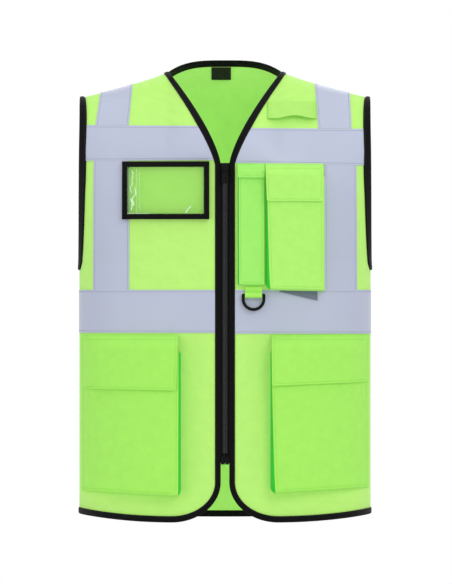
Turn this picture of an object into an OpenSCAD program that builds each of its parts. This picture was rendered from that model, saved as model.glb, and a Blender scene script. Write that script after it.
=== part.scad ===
// High visibility vest with a zip front, reflective bands, pockets and a hanging D-ring.
// Frame: +Z up, the front faces -Y, +X is the wearer's left. The origin is midway
// between the two points where the shoulder seams meet the neck.

/* [Body] */
// Half width across the side seams
half_w = 205; // [195:1:215]
// How far the front stands forward of the side seams at the zip
front_d = 128; // [110:1:140]
// How far the back stands behind the side seams
back_d = 118; // [100:1:130]
// Exponent of the body's cross-section, higher is squarer
bow_n = 2.5; // [2.2:0.1:2.8]
// Drop of the shoulder seam from the neck to the shoulder tip
shoulder_drop = 36; // [30:1:42]
// Height of the armholes
arm_h = 234; // [220:1:240]
// How far each armhole edge is cut forward and backward
arm_d = 65; // [55:1:75]
// Height of the lowest point of the front hem
hem_z = -632.5; // [-645:0.5:-625]

/* [Trim] */
// Width of the black binding
binding_w = 8; // [6:0.5:9]
// Width of the chest and vertical reflective bands
band_w = 50; // [45:1:50]
// Width of the waist reflective band
waist_w = 60; // [50:1:60]
// Top edge of the chest band
chest_top = -75; // [-76:0.5:-75]
// Top edge of the waist band
waist_top = -306; // [-308:0.5:-304]
// Distance from the centre to the inner edge of the vertical bands
band_x = 136; // [130:1:140]

/* [Zip] */
// Distance between the teeth of one side
tooth_pitch = 4; // [4:0.5:6]
// Height of the slider's top when the zip is closed
slider_top = -128; // [-129:0.5:-127]
// Lower end of the zip
zip_end = -551; // [-556:1:-545]

/* [Pockets] */
// Depth of the bellows of the cargo pockets
cargo_d = 22; // [16:1:26]
// Depth of the phone pocket
phone_d = 17; // [12:1:20]
// Depth of the pen pocket
pen_d = 11; // [9:1:13]
// Depth of the card pocket
card_d = 7.2; // [7:0.2:8]

/* [Hidden] */

// Thickness of the body fabric and the clearance that separate layers keep
cloth_t = 1;
layer_gap = 0.5;
// Offsets of the reflective bands from the fabric's outer face
band_low = layer_gap;
band_high = 1.2;
// Offsets of the binding, which wraps both faces of the fabric's edge
bind_low = -1.8;
bind_high = 1.4;
// Base offset of a pocket that crosses a band, and the thickness of pocket cloth
over_band = 1.7;
pocket_t = 1.2;
// Half gap between the front and the back at the side and shoulder seams
seam_gap = 0.4;
// Level where the swinging fronts part from the shoulder yokes, and the gap on each side of it
split_z = -74;
split_gap = 0.2;
// Levels of the panel seams that the chest band and the waist band cover
chest_seam = chest_top - band_w / 2;
waist_seam = waist_top - waist_w / 2;
// Neck: where the shoulder seam starts at the binding's free edge and at its seam, the rise of
// the back neck, and the foot of the V
neck_half = 80;
neck_end = 84;
neck_rise = 15.5;
v_foot = -130;
// The shoulder crest, and the depth below the seam at which the chest is full
crest_h = 14;
crest_r = 32;
slope_h = 150;
// Half width of the zip strip, measured to the panel's cut edge
zip_half = 14;
// Centre of the rounded lower front corner and its two radii to the free edge
corner = [75, -576];
corner_a = 69;
arm_top = -shoulder_drop;
arm_low = arm_top - arm_h;

green = "#b8f578";
pocket_green = "#a9f36a";
silver = "#bec5d8";
black = "#1b191d";
clear = "#d9f2c8";

// ---- The body surface -------------------------------------------------------------

function clamp(v) = min(max(v, 0), 1);

// Upper edge of the back neck
function neck_back_z(x) = neck_rise - (neck_rise - 1) * pow(min(abs(x) / neck_half, 1), 3.4);

// Height of the shoulder seam, continued over the back of the neck. It falls fastest by the neck
function slope_part(a) = pow((a - neck_half) + 4, 0.8);
function seam_z(x) = let (a = abs(x))
  a > neck_half
    ? 1 - (shoulder_drop + 1) * (slope_part(a) - slope_part(neck_half))
      / (slope_part(half_w) - slope_part(neck_half))
    : neck_back_z(a) + 9 * (1 - pow(a / neck_half, 2));

// Free edge and inner edge of the binding along the V of the neck
function v_free(z) = 6 + 72 * pow(clamp(1 - z / v_foot), 1.4);
function v_seam(z) = zip_half + 70 * pow(clamp(1 - z / v_foot), 1.3);

// Depth of the armhole edge, and how much wider than the cut edge the body is there
function arm_t(z) = clamp((arm_top - z) / arm_h);
function edge_y(z) = 2 * arm_d * sqrt(arm_t(z) * (1 - arm_t(z)));
function widen(z) = 1 + 0.2 * arm_t(z) * (1 - arm_t(z));

// Plan curve of the body from the side (0) to the centre (1)
function bow(a) = pow(1 - pow(min(a, 1), bow_n), 1 / bow_n);
function across(x, z) = let (k = widen(z), e = bow(1 / k)) (bow(abs(x) / half_w / k) - e) / (1 - e);

// Profile of the body from the shoulder seam down
function crest(d) = crest_r * sqrt(1 - pow(1 - min(d / crest_h, 1), 2));
function fall(d) = pow(sin(90 * min(d / slope_h, 1)), 1.3);
function depth(x, z, full) = let (
    d = max(seam_z(x) - z, 0),
    middle = crest(d) + (full - crest_r) * fall(d)
  ) edge_y(z) + (middle - edge_y(z)) * across(x, z);

// A point of the fabric's outer face. side is -1 for the front and 1 for the back
function skin(side, x, z) = let (cx = min(max(x, -half_w), half_w))
  [cx, side * (seam_gap + depth(cx, z, side < 0 ? front_d : back_d)), z];

function unit(v) = v / norm(v);
step = 0.4;
// Outward direction, kept level below the split so that the split is flat
function outward(side, x, z) = let (
    along = skin(side, x + step, z) - skin(side, x - step, z),
    up = skin(side, x, z + step) - skin(side, x, z - step),
    n = side * cross(up, along),
    level = clamp((z - split_z) / 24)
  ) unit([n[0], n[1], n[2] * level]);

// The x at which test(x) turns false on the way out from lo to hi
function search(test, lo, hi, n = 16) = n == 0
  ? (lo + hi) / 2
  : let (m = (lo + hi) / 2) test(m) ? search(test, m, hi, n - 1) : search(test, lo, m, n - 1);
// Seam line of the armhole binding. Low down it follows an oval round the armhole, which runs
// out on the side seam, and near the shoulder it keeps its distance from the edge
arm_mid = arm_low + arm_h / 2;
function arm_seam(side, z, extra = 0) = let (
    w = binding_w + extra,
    t = clamp((arm_mid + arm_h / 2 + w - z) / (arm_h + 2 * w)),
    oval = seam_gap + 2 * (arm_d + w) * sqrt(t * (1 - t)),
    far = function(x) norm(skin(side, x, z) - skin(side, half_w, z)) > w,
    deep = function(x) abs(skin(side, x, z)[1]) > oval,
    high = clamp((z - arm_mid) / 40)
  ) z <= arm_low - w ? half_w
    : (high < 1 ? (1 - high) * search(deep, half_w - 45, half_w) : 0)
      + (high > 0 ? high * search(far, half_w - 45, half_w) : 0);

// Hem lines of the front and the back, at the binding's lower edge
function front_hem(x) = hem_z + 11 * pow(max(abs(x) - corner[0], 0) / (half_w - corner[0]), 2);
function back_hem(x) = hem_z + 4.5 + 6.5 * pow(abs(x) / half_w, 2);

// ---- Sheets on the surface ----------------------------------------------------------

// q is [x, z, offset]; s mirrors the point to the wearer's right when it is -1
function place(side, s, q) = let (
    p = skin(side, q[0], q[1]) + q[2] * outward(side, q[0], q[1])
  ) [s * p[0], p[1], p[2]];

// A closed sheet between two grids of [x, z, offset] with x growing along rows, z with rows
module sheet(side, s, outer, inner) {
  nr = len(outer);
  nc = len(outer[0]);
  half = nr * nc;
  points = [
    for (grid = [outer, inner]) for (row = grid) for (q = row) place(side, s, q)
  ];
  function at(j, i) = j * nc + i;
  faces = concat(
    [for (j = [0:nr - 2], i = [0:nc - 2]) [at(j, i), at(j + 1, i), at(j + 1, i + 1)]],
    [for (j = [0:nr - 2], i = [0:nc - 2]) [at(j, i), at(j + 1, i + 1), at(j, i + 1)]],
    [for (j = [0:nr - 2], i = [0:nc - 2])
      [half + at(j, i), half + at(j + 1, i + 1), half + at(j + 1, i)]],
    [for (j = [0:nr - 2], i = [0:nc - 2])
      [half + at(j, i), half + at(j, i + 1), half + at(j + 1, i + 1)]],
    [for (i = [0:nc - 2]) each rim(at(0, i), at(0, i + 1), half)],
    [for (i = [0:nc - 2]) each rim(at(nr - 1, i + 1), at(nr - 1, i), half)],
    [for (j = [0:nr - 2]) each rim(at(j + 1, 0), at(j, 0), half)],
    [for (j = [0:nr - 2]) each rim(at(j, nc - 1), at(j + 1, nc - 1), half)]
  );
  polyhedron(points, side * s < 0 ? faces : [for (f = faces) [f[2], f[1], f[0]]]);
}
function rim(a, b, half) = [[a, b, half + b], [a, half + b, half + a]];

// The same, from one grid of [x, z] and two offsets
module shell(side, s, grid, low, high) {
  sheet(side, s,
    [for (row = grid) [for (q = row) [q[0], q[1], high]]],
    [for (row = grid) [for (q = row) [q[0], q[1], low]]]);
}

// Stations across one half of the body, close together where it turns to the side
turns = 14;
stations = [for (i = [1:turns]) half_w * pow(sin(90 * i / turns), 2 / bow_n)];
function between(a, b, margin = 3) = concat(
  [a], [for (x = stations) if (x > a + margin && x < b - margin) x], [b]);
// A station moved so that a row runs from a to b
function shift(x, a, b, from) = x < 100
  ? a + (100 - a) * (x - from) / (100 - from)
  : x <= 150 ? x : 150 + (b - 150) * (x - 150) / (half_w - 150);
panel_x = between(zip_half + 0.4, half_w);
function panel_row(a, b, level) = [
  for (x0 = panel_x) let (x = shift(x0, a, b, panel_x[0])) [x, level(x)]];

// Heights from v up to w, no further apart than the step
function levels(v, w, most) = let (n = ceil((w - v) / most)) [for (i = [0:n]) v + (w - v) * i / n];

// A patch of a band between two heights and two x values
module strip(side, s, xa, xb, za, zb, low, high, most = 16) {
  shell(side, s, [for (z = levels(za, zb, most)) [for (x = between(xa, xb)) [x, z]]], low, high);
}

// ---- Fronts --------------------------------------------------------------------------

front_side = -1;
back_side = 1;
edge_gap = 0.4;
low_turns = [0, 8, 16, 25, 35, 45, 55, 66, 78, 90];
chest_levels = levels(chest_top - band_w, chest_top, 13);
arm_levels = concat(
  [for (turn = low_turns) arm_mid - (arm_h / 2 + binding_w + edge_gap) * cos(turn)],
  [arm_mid + 16], chest_levels);

function corner_row(angle) = let (
    a = corner[0] - (corner[0] - zip_half - edge_gap) * cos(angle),
    level = function(x) corner[1]
      + (front_hem(x) + binding_w + 1 + edge_gap - corner[1]) * sin(angle)
  ) panel_row(a, half_w, level);
function panel_inner(z) = v_seam(z) + edge_gap;

function front_row(z) =
  panel_row(panel_inner(z), arm_seam(front_side, z, edge_gap), function(x) z);
module front_panel(s) {
  zs = concat([waist_seam + split_gap], arm_levels, [split_z - split_gap]);
  color(green) shell(front_side, s, [for (z = zs) front_row(z)], -cloth_t, 0);
}
module front_skirt(s) {
  rows = concat(
    [for (angle = [90, 72, 54, 36, 18]) corner_row(angle)],
    [for (z = [corner[1], -430, waist_seam - split_gap]) front_row(z)]);
  color(green) shell(front_side, s, rows, -cloth_t, 0);
}

// Fractions up the yoke, close together over the crest of the shoulder
crest_steps = [0, 0.2, 0.4, 0.58, 0.72, 0.82, 0.9, 0.96, 1];
function mix(a, b, w) = a + (b - a) * w;
yoke_low = split_z + split_gap;
module yoke(s) {
  rows = [for (w = crest_steps)
    let (
      z_in = mix(yoke_low, seam_z(neck_end), w),
      z_out = mix(yoke_low, seam_z(half_w - binding_w), w)
    ) panel_row(panel_inner(min(z_in, 0)), arm_seam(front_side, z_out, edge_gap),
      function(x) mix(yoke_low, seam_z(max(x, neck_end)), w))];
  color(green) shell(front_side, s, rows, -cloth_t, 0);
}

module chest_band(s) {
  color(silver)
    shell(front_side, s, [for (z = chest_levels) front_row(z)], band_low, band_high);
}

module waist_band(s) {
  color(silver)
    strip(front_side, s, zip_half + edge_gap, half_w, waist_top - waist_w, waist_top,
      band_low, band_high, waist_w);
}

module front_band(s) {
  color(silver)
    strip(front_side, s, band_x, band_x + band_w, waist_top + edge_gap,
      chest_top - band_w - edge_gap, band_low, band_high, 20);
}

// Lean of the shoulder bands towards the neck, from the chest band to the seam
band_lean = 7;
module crossing_band(side, s, low, steps, lean) {
  rows = [for (w = steps) [for (x0 = between(band_x, band_x + band_w))
    let (x = x0 - lean * w) [x, mix(low, seam_z(x), w)]]];
  color(silver) shell(side, s, rows, band_low, band_high);
}

// Binding from the side seam along the hem, round the corner, up the zip and the V
module edge_binding(s) {
  wide = binding_w + 1;
  hem = [for (x = concat([half_w], [for (i = [turns - 1:-1:4]) stations[i]], [90]))
    [[x, front_hem(x) + wide], [x, front_hem(x)]]];
  bend = [for (angle = [90:-7.5:0])
    let (c = cos(angle), v = sin(angle), b = corner[1] - hem_z)
    [[corner[0] - (corner[0] - zip_half) * c, corner[1] - (b - wide) * v],
      [corner[0] - corner_a * c, corner[1] - b * v]]];
  up = [for (z = concat([-430, -300], levels(v_foot - 2, split_z - split_gap, 8)))
    [[v_seam(z), z], [v_free(z), z]]];
  path = concat(hem, bend, up);
  color(black) shell(front_side, s, [for (r = path) [r[1], r[0]]], bind_low, bind_high);
}

// The binding's two edges at an angle round the armhole from its lowest point
function arm_pair(side, turn) = let (
    z = arm_mid - arm_h / 2 * cos(turn),
    zi = turn < 90 ? z - binding_w * cos(turn) : z,
    x = arm_seam(side, zi)
  ) [[x, turn == 180 ? seam_z(x) : zi], [half_w, z]];
split_turn = acos((arm_mid - split_z + split_gap) / (arm_h / 2));
module front_armhole(s) {
  color(black)
    shell(front_side, s, concat([for (turn = low_turns) arm_pair(front_side, turn)],
      [for (turn = levels(98, split_turn, 8)) arm_pair(front_side, turn)]),
      bind_low, bind_high);
}

// ---- Back and shoulders --------------------------------------------------------------

back_x = let (right = concat([neck_end - 10, neck_end, neck_end + edge_gap],
    [for (x = stations) if (x > neck_end + 4) x]))
  concat([for (i = [len(right) - 1:-1:0]) -right[i]],
    [-61.6, -35.6, -12, 12, 35.6, 61.6], right);
function back_neck_low(x) = (abs(x) <= neck_half ? neck_back_z(x) : seam_z(x)) - binding_w + 1;
function back_top(x) = abs(x) <= neck_end ? back_neck_low(x) - edge_gap : seam_z(x);
// x of the back panel's station at a height, pulled in beside the armholes
function back_station(x, z) = let (a = abs(x), b = arm_seam(back_side, z, edge_gap))
  sign(x) * (a <= 150 ? a : 150 + (b - 150) * (a - 150) / (half_w - 150));

function full_row(z) = [for (x0 = back_x) if (abs(abs(x0) - neck_end) > 2)
  [back_station(x0, z), z]];
// The back in three panels, whose seams the two bands cover
module back_yoke() {
  rows = concat(
    [for (z = [chest_seam + split_gap, chest_levels[3]]) [for (x = back_x) [back_station(x, z), z]]],
    [for (w = crest_steps) [for (x = back_x)
      let (z = mix(chest_top, back_top(x), w)) [back_station(x, z), z]]]);
  color(green) shell(back_side, 1, rows, -cloth_t, 0);
}
module back_panel() {
  zs = concat([waist_seam + split_gap], [for (z = arm_levels) if (z < chest_seam - 1) z],
    [chest_seam - split_gap]);
  color(green) shell(back_side, 1, [for (z = zs) full_row(z)], -cloth_t, 0);
}
module back_skirt() {
  low = [for (q = full_row(waist_seam)) [q[0], back_hem(q[0]) + binding_w + 1 + edge_gap]];
  color(green) shell(back_side, 1, [low, full_row(waist_seam - split_gap)], -cloth_t, 0);
}

module back_chest_band() {
  color(silver)
    shell(back_side, 1, [for (z = chest_levels) full_row(z)], band_low, band_high);
}
module back_waist_band() {
  color(silver)
    shell(back_side, 1, [full_row(waist_top - waist_w), full_row(waist_top)],
      band_low, band_high);
}
module back_band(s) {
  color(silver)
    strip(back_side, s, band_x, band_x + band_w, waist_top + edge_gap,
      chest_top - band_w - edge_gap, band_low, band_high, 20);
}
module shoulder_band(s) {
  crossing_band(front_side, s, yoke_low, crest_steps, band_lean);
  crossing_band(back_side, s, chest_top + edge_gap, crest_steps, band_lean);
}

module neck_binding() {
  across_x = [for (i = [-12:12]) neck_end * sin(90 * i / 12)];
  color(black) {
    shell(back_side, 1, [
      [for (x = across_x) [x, back_neck_low(x)]],
      [for (x = across_x) [x, abs(x) <= neck_half ? neck_back_z(x) : seam_z(x)]]],
      bind_low, bind_high);
    for (s = [-1, 1])
      shell(front_side, s, [for (w = crest_steps)
        let (zo = mix(yoke_low, seam_z(neck_end), w), zf = mix(yoke_low, seam_z(78), w))
        [[v_free(min(zf, 0)), zf], [v_seam(min(zo, 0)), zo]]],
        bind_low, bind_high);
  }
}

module armhole_binding(s) {
  color(black) {
    shell(back_side, s, concat([for (turn = low_turns) arm_pair(back_side, turn)],
      [for (turn = levels(98, 180, 7)) arm_pair(back_side, turn)]),
      bind_low, bind_high);
    shell(front_side, s, [for (w = crest_steps)
      let (
        zo = mix(yoke_low, arm_top, w),
        x = arm_seam(front_side, mix(yoke_low, seam_z(half_w - binding_w), w))
      ) [[x, mix(yoke_low, seam_z(x), w)], [half_w, zo]]],
      bind_low, bind_high);
  }
}

module hem_binding_back() {
  xs = [for (x = back_x) if (abs(abs(x) - neck_end) > 2) x];
  color(black)
    shell(back_side, 1, [
      [for (x = xs) [x, back_hem(x)]],
      [for (x = xs) [x, back_hem(x) + binding_w + 1]]],
      bind_low, bind_high);
}

module neck_label() {
  color("#101010")
    shell(back_side, 1, [for (z = levels(-9, 7.4, 6)) [for (x = [-18.5, -5, 8.5]) [x, z]]],
      -2.9, -2.3);
}

// A strap sewn down at both ends that bows off the fabric between them
module radio_loop() {
  xs = [59, 61.5, 66, 72, 80, 95, 110, 118, 123, 126.5, 128.6];
  rise = function(x) 1 + 12 * pow(sin(180 * (x - xs[0]) / (xs[len(xs) - 1] - xs[0])), 0.5);
  color(pocket_green)
    sheet(front_side, 1,
      [for (z = levels(-65, -42, 6)) [for (x = xs) [x, z, rise(x) + pocket_t]]],
      [for (z = levels(-65, -42, 6)) [for (x = xs) [x, z, rise(x)]]]);
}

// ---- Zip -------------------------------------------------------------------------------

zip_y = skin(front_side, 0, -300)[1];
slider_h = 12;
teeth_top = slider_top - slider_h - 2;
teeth_low = zip_end + 15;
tooth_t = 2.6;
tooth_h = 1.5;

// A comb of teeth, joined by the cord that they are moulded on
module teeth(s) {
  offset_z = s > 0 ? 0 : tooth_pitch / 2;
  count = floor((teeth_top - teeth_low - tooth_pitch) / tooth_pitch);
  comb = concat(
    [[2.3, teeth_top], [2.3, teeth_low], [1.9, teeth_low]],
    [for (k = [0:count - 1]) let (z = teeth_low + 1 + offset_z + k * tooth_pitch)
      each [[1.9, z], [-1.4, z + 0.2], [-1.4, z + tooth_h - 0.2], [1.9, z + tooth_h]]],
    [[1.9, teeth_top]]);
  color(black)
    translate([0, zip_y + tooth_t / 2 - 0.4, 0])
      rotate([90, 0, 0]) linear_extrude(tooth_t) polygon([for (p = comb) [s * p[0], p[1]]]);
}
module zip_teeth(s) {
  teeth(s);
  // The stop above the slider
  color(black)
    translate([s > 0 ? 0.5 : -3.5, zip_y - 1.3, slider_top + 0.6]) cube([3, 2.6, 2]);
}
module zip_tape(s) {
  color(black)
    translate([s > 0 ? 2.6 : -5.6, zip_y, teeth_low - 2.6])
      cube([3, 1, teeth_top - teeth_low + 3]);
}
box_h = 11;
module zip_foot(s) {
  color(black)
    translate([s > 0 ? 0.3 : -5.6, zip_y - 1.8, zip_end]) cube([5.3, 3.6, box_h]);
}

// Outline of the slider: wide shoulders and a narrow mouth
module slider_outline() {
  polygon([[-5.2, 0], [5.2, 0], [5.2, -4.2], [4.2, -slider_h], [-4.2, -slider_h], [-5.2, -4.2]]);
}
plate_y = zip_y - 1.9;
plate_t = 1.6;
pin_y = plate_y - plate_t - 2;
pin_z = slider_top - 9.5;
module zip_slider() {
  color(black) {
    translate([0, plate_y, slider_top])
      rotate([90, 0, 0]) linear_extrude(plate_t) slider_outline();
    // Lugs and the pin that the pull tab hangs on
    for (s = [-1, 1]) translate([s * 1.9 - 0.6, 0, 0]) {
      translate([0, pin_y - 1.5, pin_z - 1.5]) cube([1.2, plate_y - plate_t - pin_y + 1.5, 3]);
    }
    translate([-1.9, pin_y, pin_z]) rotate([0, 90, 0]) cylinder(r = 0.8, h = 3.8, $fn = 32);
  }
}
module zip_slider_back() {
  color(black)
    translate([0, zip_y + 2.9, slider_top])
      rotate([90, 0, 0]) linear_extrude(1.4) slider_outline();
}

tab_w = 9.6;
tab_t = 1.4;
tab_low = pin_z - 19;
// Radius and height of the hole that a cord can be tied through
tab_hole_r = 1.5;
tab_hole_z = pin_z - 14;
module pull_tab() {
  color(black) difference() {
    union() {
      translate([-1.1, pin_y, pin_z]) rotate([0, 90, 0]) cylinder(r = 1.7, h = 2.2, $fn = 32);
      translate([-1.1, pin_y - tab_t / 2, pin_z - 4]) cube([2.2, tab_t, 3]);
      translate([-tab_w / 2, pin_y - tab_t / 2, tab_low + 2])
        cube([tab_w, tab_t, pin_z - 3.4 - tab_low - 2]);
      translate([2 - tab_w / 2, pin_y - tab_t / 2, tab_low]) cube([tab_w - 4, tab_t, 2.5]);
      for (s = [-1, 1]) translate([s * (tab_w / 2 - 2), pin_y + tab_t / 2, tab_low + 2])
        rotate([90, 0, 0]) cylinder(r = 2, h = tab_t, $fn = 32);
    }
    translate([-2, pin_y, pin_z]) rotate([0, 90, 0]) cylinder(r = 0.95, h = 4, $fn = 32);
    translate([0, pin_y + 2, tab_hole_z])
      rotate([90, 0, 0]) cylinder(r = tab_hole_r, h = 4, $fn = 32);
  }
}

// ---- Pockets ----------------------------------------------------------------------------

// Greatest height of a row of the pockets' walls
wall_step = 16;

// A pouch on the front, open at the top: x from xa to xb, z from za to zb, with its depth as a
// function of x. Its walls rise from the base offset over lean_a and lean_b at the two sides
module pouch(s, xa, xb, za, zb, base, lean_a, lean_b, lean_z, deep) {
  xo = between(xa + lean_a, xb - lean_b);
  xi = between(xa + lean_a + pocket_t, xb - lean_b - pocket_t);
  count = min(len(xo), len(xi));
  inner_x = [for (i = [0:count - 1])
    i == 0 ? xi[0] : i == count - 1 ? xi[len(xi) - 1] : xo[i]];
  outer_x = [for (i = [0:count - 1]) i == count - 1 ? xo[len(xo) - 1] : xo[i]];
  zs = levels(za + lean_z, zb, wall_step);
  function row(xs, z, ea, eb, o, thin) = concat([[ea, z, base]],
    [for (x = xs) [x, z, o(x) - thin]], [[eb, z, base]]);
  flat = function(x) base;
  outer = concat([row(outer_x, za, xa, xb, flat, 0)],
    [for (z = zs) row(outer_x, z, xa, xb, deep, 0)]);
  inner = concat([row(inner_x, za + pocket_t, xa + pocket_t, xb - pocket_t, flat, 0)],
    [for (i = [0:len(zs) - 1]) row(inner_x, i == 0 ? zs[0] + pocket_t : zs[i],
      xa + pocket_t, xb - pocket_t, deep, pocket_t)]);
  color(pocket_green) sheet(front_side, s, outer, inner);
}

// A flap that leaves the fabric at its top edge and lies over the mouth of a pouch.
// drop is how far below the top it reaches the pouch's depth
module flap(s, xa, xb, za, zb, base, drop, deep) {
  xs = between(xa, xb);
  zs = concat(levels(za, zb - drop, 30), [zb - drop * 0.45, zb]);
  lift = function(x, z) mix(deep(x), base, pow(clamp((z - zb + drop) / drop), 1.5));
  color(pocket_green) sheet(front_side, s,
    [for (z = zs) [for (x = xs) [x, z, lift(x, z) + pocket_t]]],
    [for (z = zs) [for (x = xs) [x, z, lift(x, z)]]]);
}

flap_gap = 1.7;
function lifted(deep, more) = function(x) deep(x) + more;

pen = [18, 56.5, -300, -143];
pen_deep = function(x) pen_d;
module pen_pocket() {
  pouch(1, pen[0], pen[1], pen[2], pen[3], layer_gap, 2, 2, 2, pen_deep);
}
module pen_flap() {
  flap(1, pen[0], pen[1] - 1, -148.5, -128.5, layer_gap, 11, lifted(pen_deep, flap_gap));
}
module pen_patch() {
  strip_patch(1, 26, 49, -148.5, -143.5, pen_deep);
}

phone = [58.5, 139, -307, -147];
phone_deep = function(x) phone_d;
module phone_pocket() {
  pouch(1, phone[0], phone[1], phone[2], phone[3], over_band, 5.5, 2, 5, phone_deep);
}
module phone_flap() {
  flap(1, 57.2, phone[1], -181, -129, over_band, 15, lifted(phone_deep, flap_gap));
}
module phone_patch() {
  strip_patch(1, 75, 125, -176, -158, phone_deep);
}

// Half of a hook-and-loop closure, sewn on the front of a pouch
module strip_patch(s, xa, xb, za, zb, deep) {
  xs = between(xa, xb);
  color(pocket_green) sheet(front_side, s,
    [for (z = [za, zb]) [for (x = xs) [x, z, deep(x) + 1.2]]],
    [for (z = [za, zb]) [for (x = xs) [x, z, deep(x) + 0.4]]]);
}

cargo_side = 202;
// The bellows are full at the inner edge and run out towards the side seam
cargo_deep = function(x) 2.6 + (cargo_d - 2.6) * pow(clamp((200 - x) / 135), 0.7);
module cargo_pocket(s) {
  inner = s > 0 ? 66 : 62;
  low = s > 0 ? -590 : -596;
  lean = s > 0 ? 9 : 4;
  pouch(s, inner, cargo_side, low, -406, layer_gap, lean, 1.5, 5, cargo_deep);
}
module cargo_flap(s) {
  inner = s > 0 ? 65 : 61;
  low = s > 0 ? -440 : -446;
  flap(s, inner, cargo_side, low, -368.5, layer_gap, 18, lifted(cargo_deep, flap_gap));
}
module cargo_patch(s) {
  strip_patch(s, 88, 160, -436, -412, cargo_deep);
}

// Card pocket: a clear window in a bound frame, open at the top
card = [22, 144, -207, -125.6];
module card_frame() {
  wide = binding_w;
  color(black) {
    // Left and right sides and the foot of the frame, and the lip along the top
    for (x = [[card[0], card[0] + wide], [card[1] - wide, card[1]]])
      strip(front_side, -1, x[0], x[1], card[2] + wide + edge_gap, card[3],
        over_band, card_d + 1.6, wall_step);
    strip(front_side, -1, card[0], card[1], card[2], card[2] + wide, over_band, card_d + 1.6);
    strip(front_side, -1, card[0] + wide + edge_gap, card[1] - wide - edge_gap,
      card[3] - wide, card[3], card_d + 0.2, card_d + 1.6);
  }
}
module card_window() {
  color(clear, 0.6)
    strip(front_side, -1, card[0] + binding_w + edge_gap, card[1] - binding_w - edge_gap,
      card[2] + binding_w + edge_gap, card[3] - binding_w - edge_gap, card_d + 0.4, card_d + 1,
      wall_step);
}

// Small sewn tag below the phone pocket
module side_tag() {
  color("#8f96a2") strip(front_side, 1, 76, 129, -321, -308, band_high + 0.5, band_high + 1.1, 30);
}

// ---- D-ring -------------------------------------------------------------------------------

ring_x = 40;
wire_r = 2.2;
ring_half = 14.5;
ring_z = -313.5;
loop_r = 2.7;
loop_t = 1.4;
ring_y = skin(front_side, ring_x, ring_z)[1] - band_high - 1.6 - loop_r - loop_t;
module d_ring() {
  color(black) translate([ring_x, ring_y, ring_z]) {
    translate([-ring_half, 0, 0])
      rotate([0, 90, 0]) cylinder(r = wire_r, h = 2 * ring_half, $fn = 32);
    for (s = [-1, 1]) translate([s * ring_half, 0, 0]) {
      sphere(r = wire_r, $fn = 32);
      rotate([180, 0, 0]) cylinder(r = wire_r, h = 5.5, $fn = 32);
    }
    translate([0, 0, -5.5]) rotate([-90, 0, 0])
      rotate_extrude(angle = 180, $fn = 64) translate([ring_half, 0]) circle(r = wire_r, $fn = 32);
  }
}
module ring_loop() {
  wide = 24;
  color(pocket_green) translate([ring_x - wide / 2, ring_y, ring_z]) {
    difference() {
      union() {
        rotate([0, 90, 0]) cylinder(r = loop_r + loop_t, h = wide, $fn = 48);
        cube([wide, loop_r + loop_t, 11.5]);
      }
      translate([-1, 0, 0]) rotate([0, 90, 0]) cylinder(r = loop_r, h = wide + 2, $fn = 48);
    }
  }
}

back_yoke();
back_panel();
back_skirt();
back_chest_band();
back_waist_band();
back_band(1);  // back_band_left
back_band(-1);  // back_band_right
yoke(1);  // yoke_left
yoke(-1);  // yoke_right
shoulder_band(1);  // shoulder_band_left
shoulder_band(-1);  // shoulder_band_right
neck_binding();
armhole_binding(1);  // armhole_binding_left
armhole_binding(-1);  // armhole_binding_right
hem_binding_back();
neck_label();
radio_loop();
front_panel(1);  // front_panel_left
front_skirt(1);  // front_skirt_left
chest_band(1);  // chest_band_left
waist_band(1);  // waist_band_left
front_band(1);  // front_band_left
edge_binding(1);  // edge_binding_left
front_armhole(1);  // front_armhole_left
zip_tape(1);  // zip_tape_left
zip_teeth(1);  // zip_teeth_left
zip_foot(1);  // zip_pin
pen_pocket();
phone_pocket();
ring_loop();
side_tag();
cargo_pocket(1);  // cargo_pocket_left
pen_patch();
phone_patch();
cargo_patch(1);  // cargo_patch_left
front_panel(-1);  // front_panel_right
front_skirt(-1);  // front_skirt_right
chest_band(-1);  // chest_band_right
waist_band(-1);  // waist_band_right
front_band(-1);  // front_band_right
edge_binding(-1);  // edge_binding_right
front_armhole(-1);  // front_armhole_right
zip_tape(-1);  // zip_tape_right
zip_teeth(-1);  // zip_teeth_right
zip_foot(-1);  // zip_box
card_window();
card_frame();
cargo_pocket(-1);  // cargo_pocket_right
cargo_patch(-1);  // cargo_patch_right
zip_slider();
zip_slider_back();
pull_tab();
pen_flap();
phone_flap();
cargo_flap(1);  // cargo_flap_left
cargo_flap(-1);  // cargo_flap_right
d_ring();
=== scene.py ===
"""High visibility vest: cloth, tape, zip and fittings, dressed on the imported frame."""

import logging
import math
from dataclasses import dataclass, field
from enum import Enum
from typing import Callable, Sequence

import bmesh
import bpy
import numpy as np
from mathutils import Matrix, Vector


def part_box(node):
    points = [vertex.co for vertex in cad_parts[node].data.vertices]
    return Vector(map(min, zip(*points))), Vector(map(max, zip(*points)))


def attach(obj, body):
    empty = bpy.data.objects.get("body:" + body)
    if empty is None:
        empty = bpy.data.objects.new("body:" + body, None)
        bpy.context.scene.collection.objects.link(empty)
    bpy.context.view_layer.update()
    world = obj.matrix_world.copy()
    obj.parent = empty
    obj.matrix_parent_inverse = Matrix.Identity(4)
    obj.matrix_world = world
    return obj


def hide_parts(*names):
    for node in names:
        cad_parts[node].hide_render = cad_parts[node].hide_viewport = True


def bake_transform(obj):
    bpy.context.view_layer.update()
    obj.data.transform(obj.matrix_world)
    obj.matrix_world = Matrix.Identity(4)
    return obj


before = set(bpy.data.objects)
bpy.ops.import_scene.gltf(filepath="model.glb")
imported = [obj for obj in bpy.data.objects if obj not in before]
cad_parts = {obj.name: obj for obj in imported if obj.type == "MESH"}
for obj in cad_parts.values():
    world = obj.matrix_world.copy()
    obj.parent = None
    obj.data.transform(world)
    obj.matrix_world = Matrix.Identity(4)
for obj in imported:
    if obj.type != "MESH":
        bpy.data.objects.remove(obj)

logging.basicConfig(level=logging.INFO, format="%(levelname)s %(message)s")
log = logging.getLogger("vest")

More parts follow.
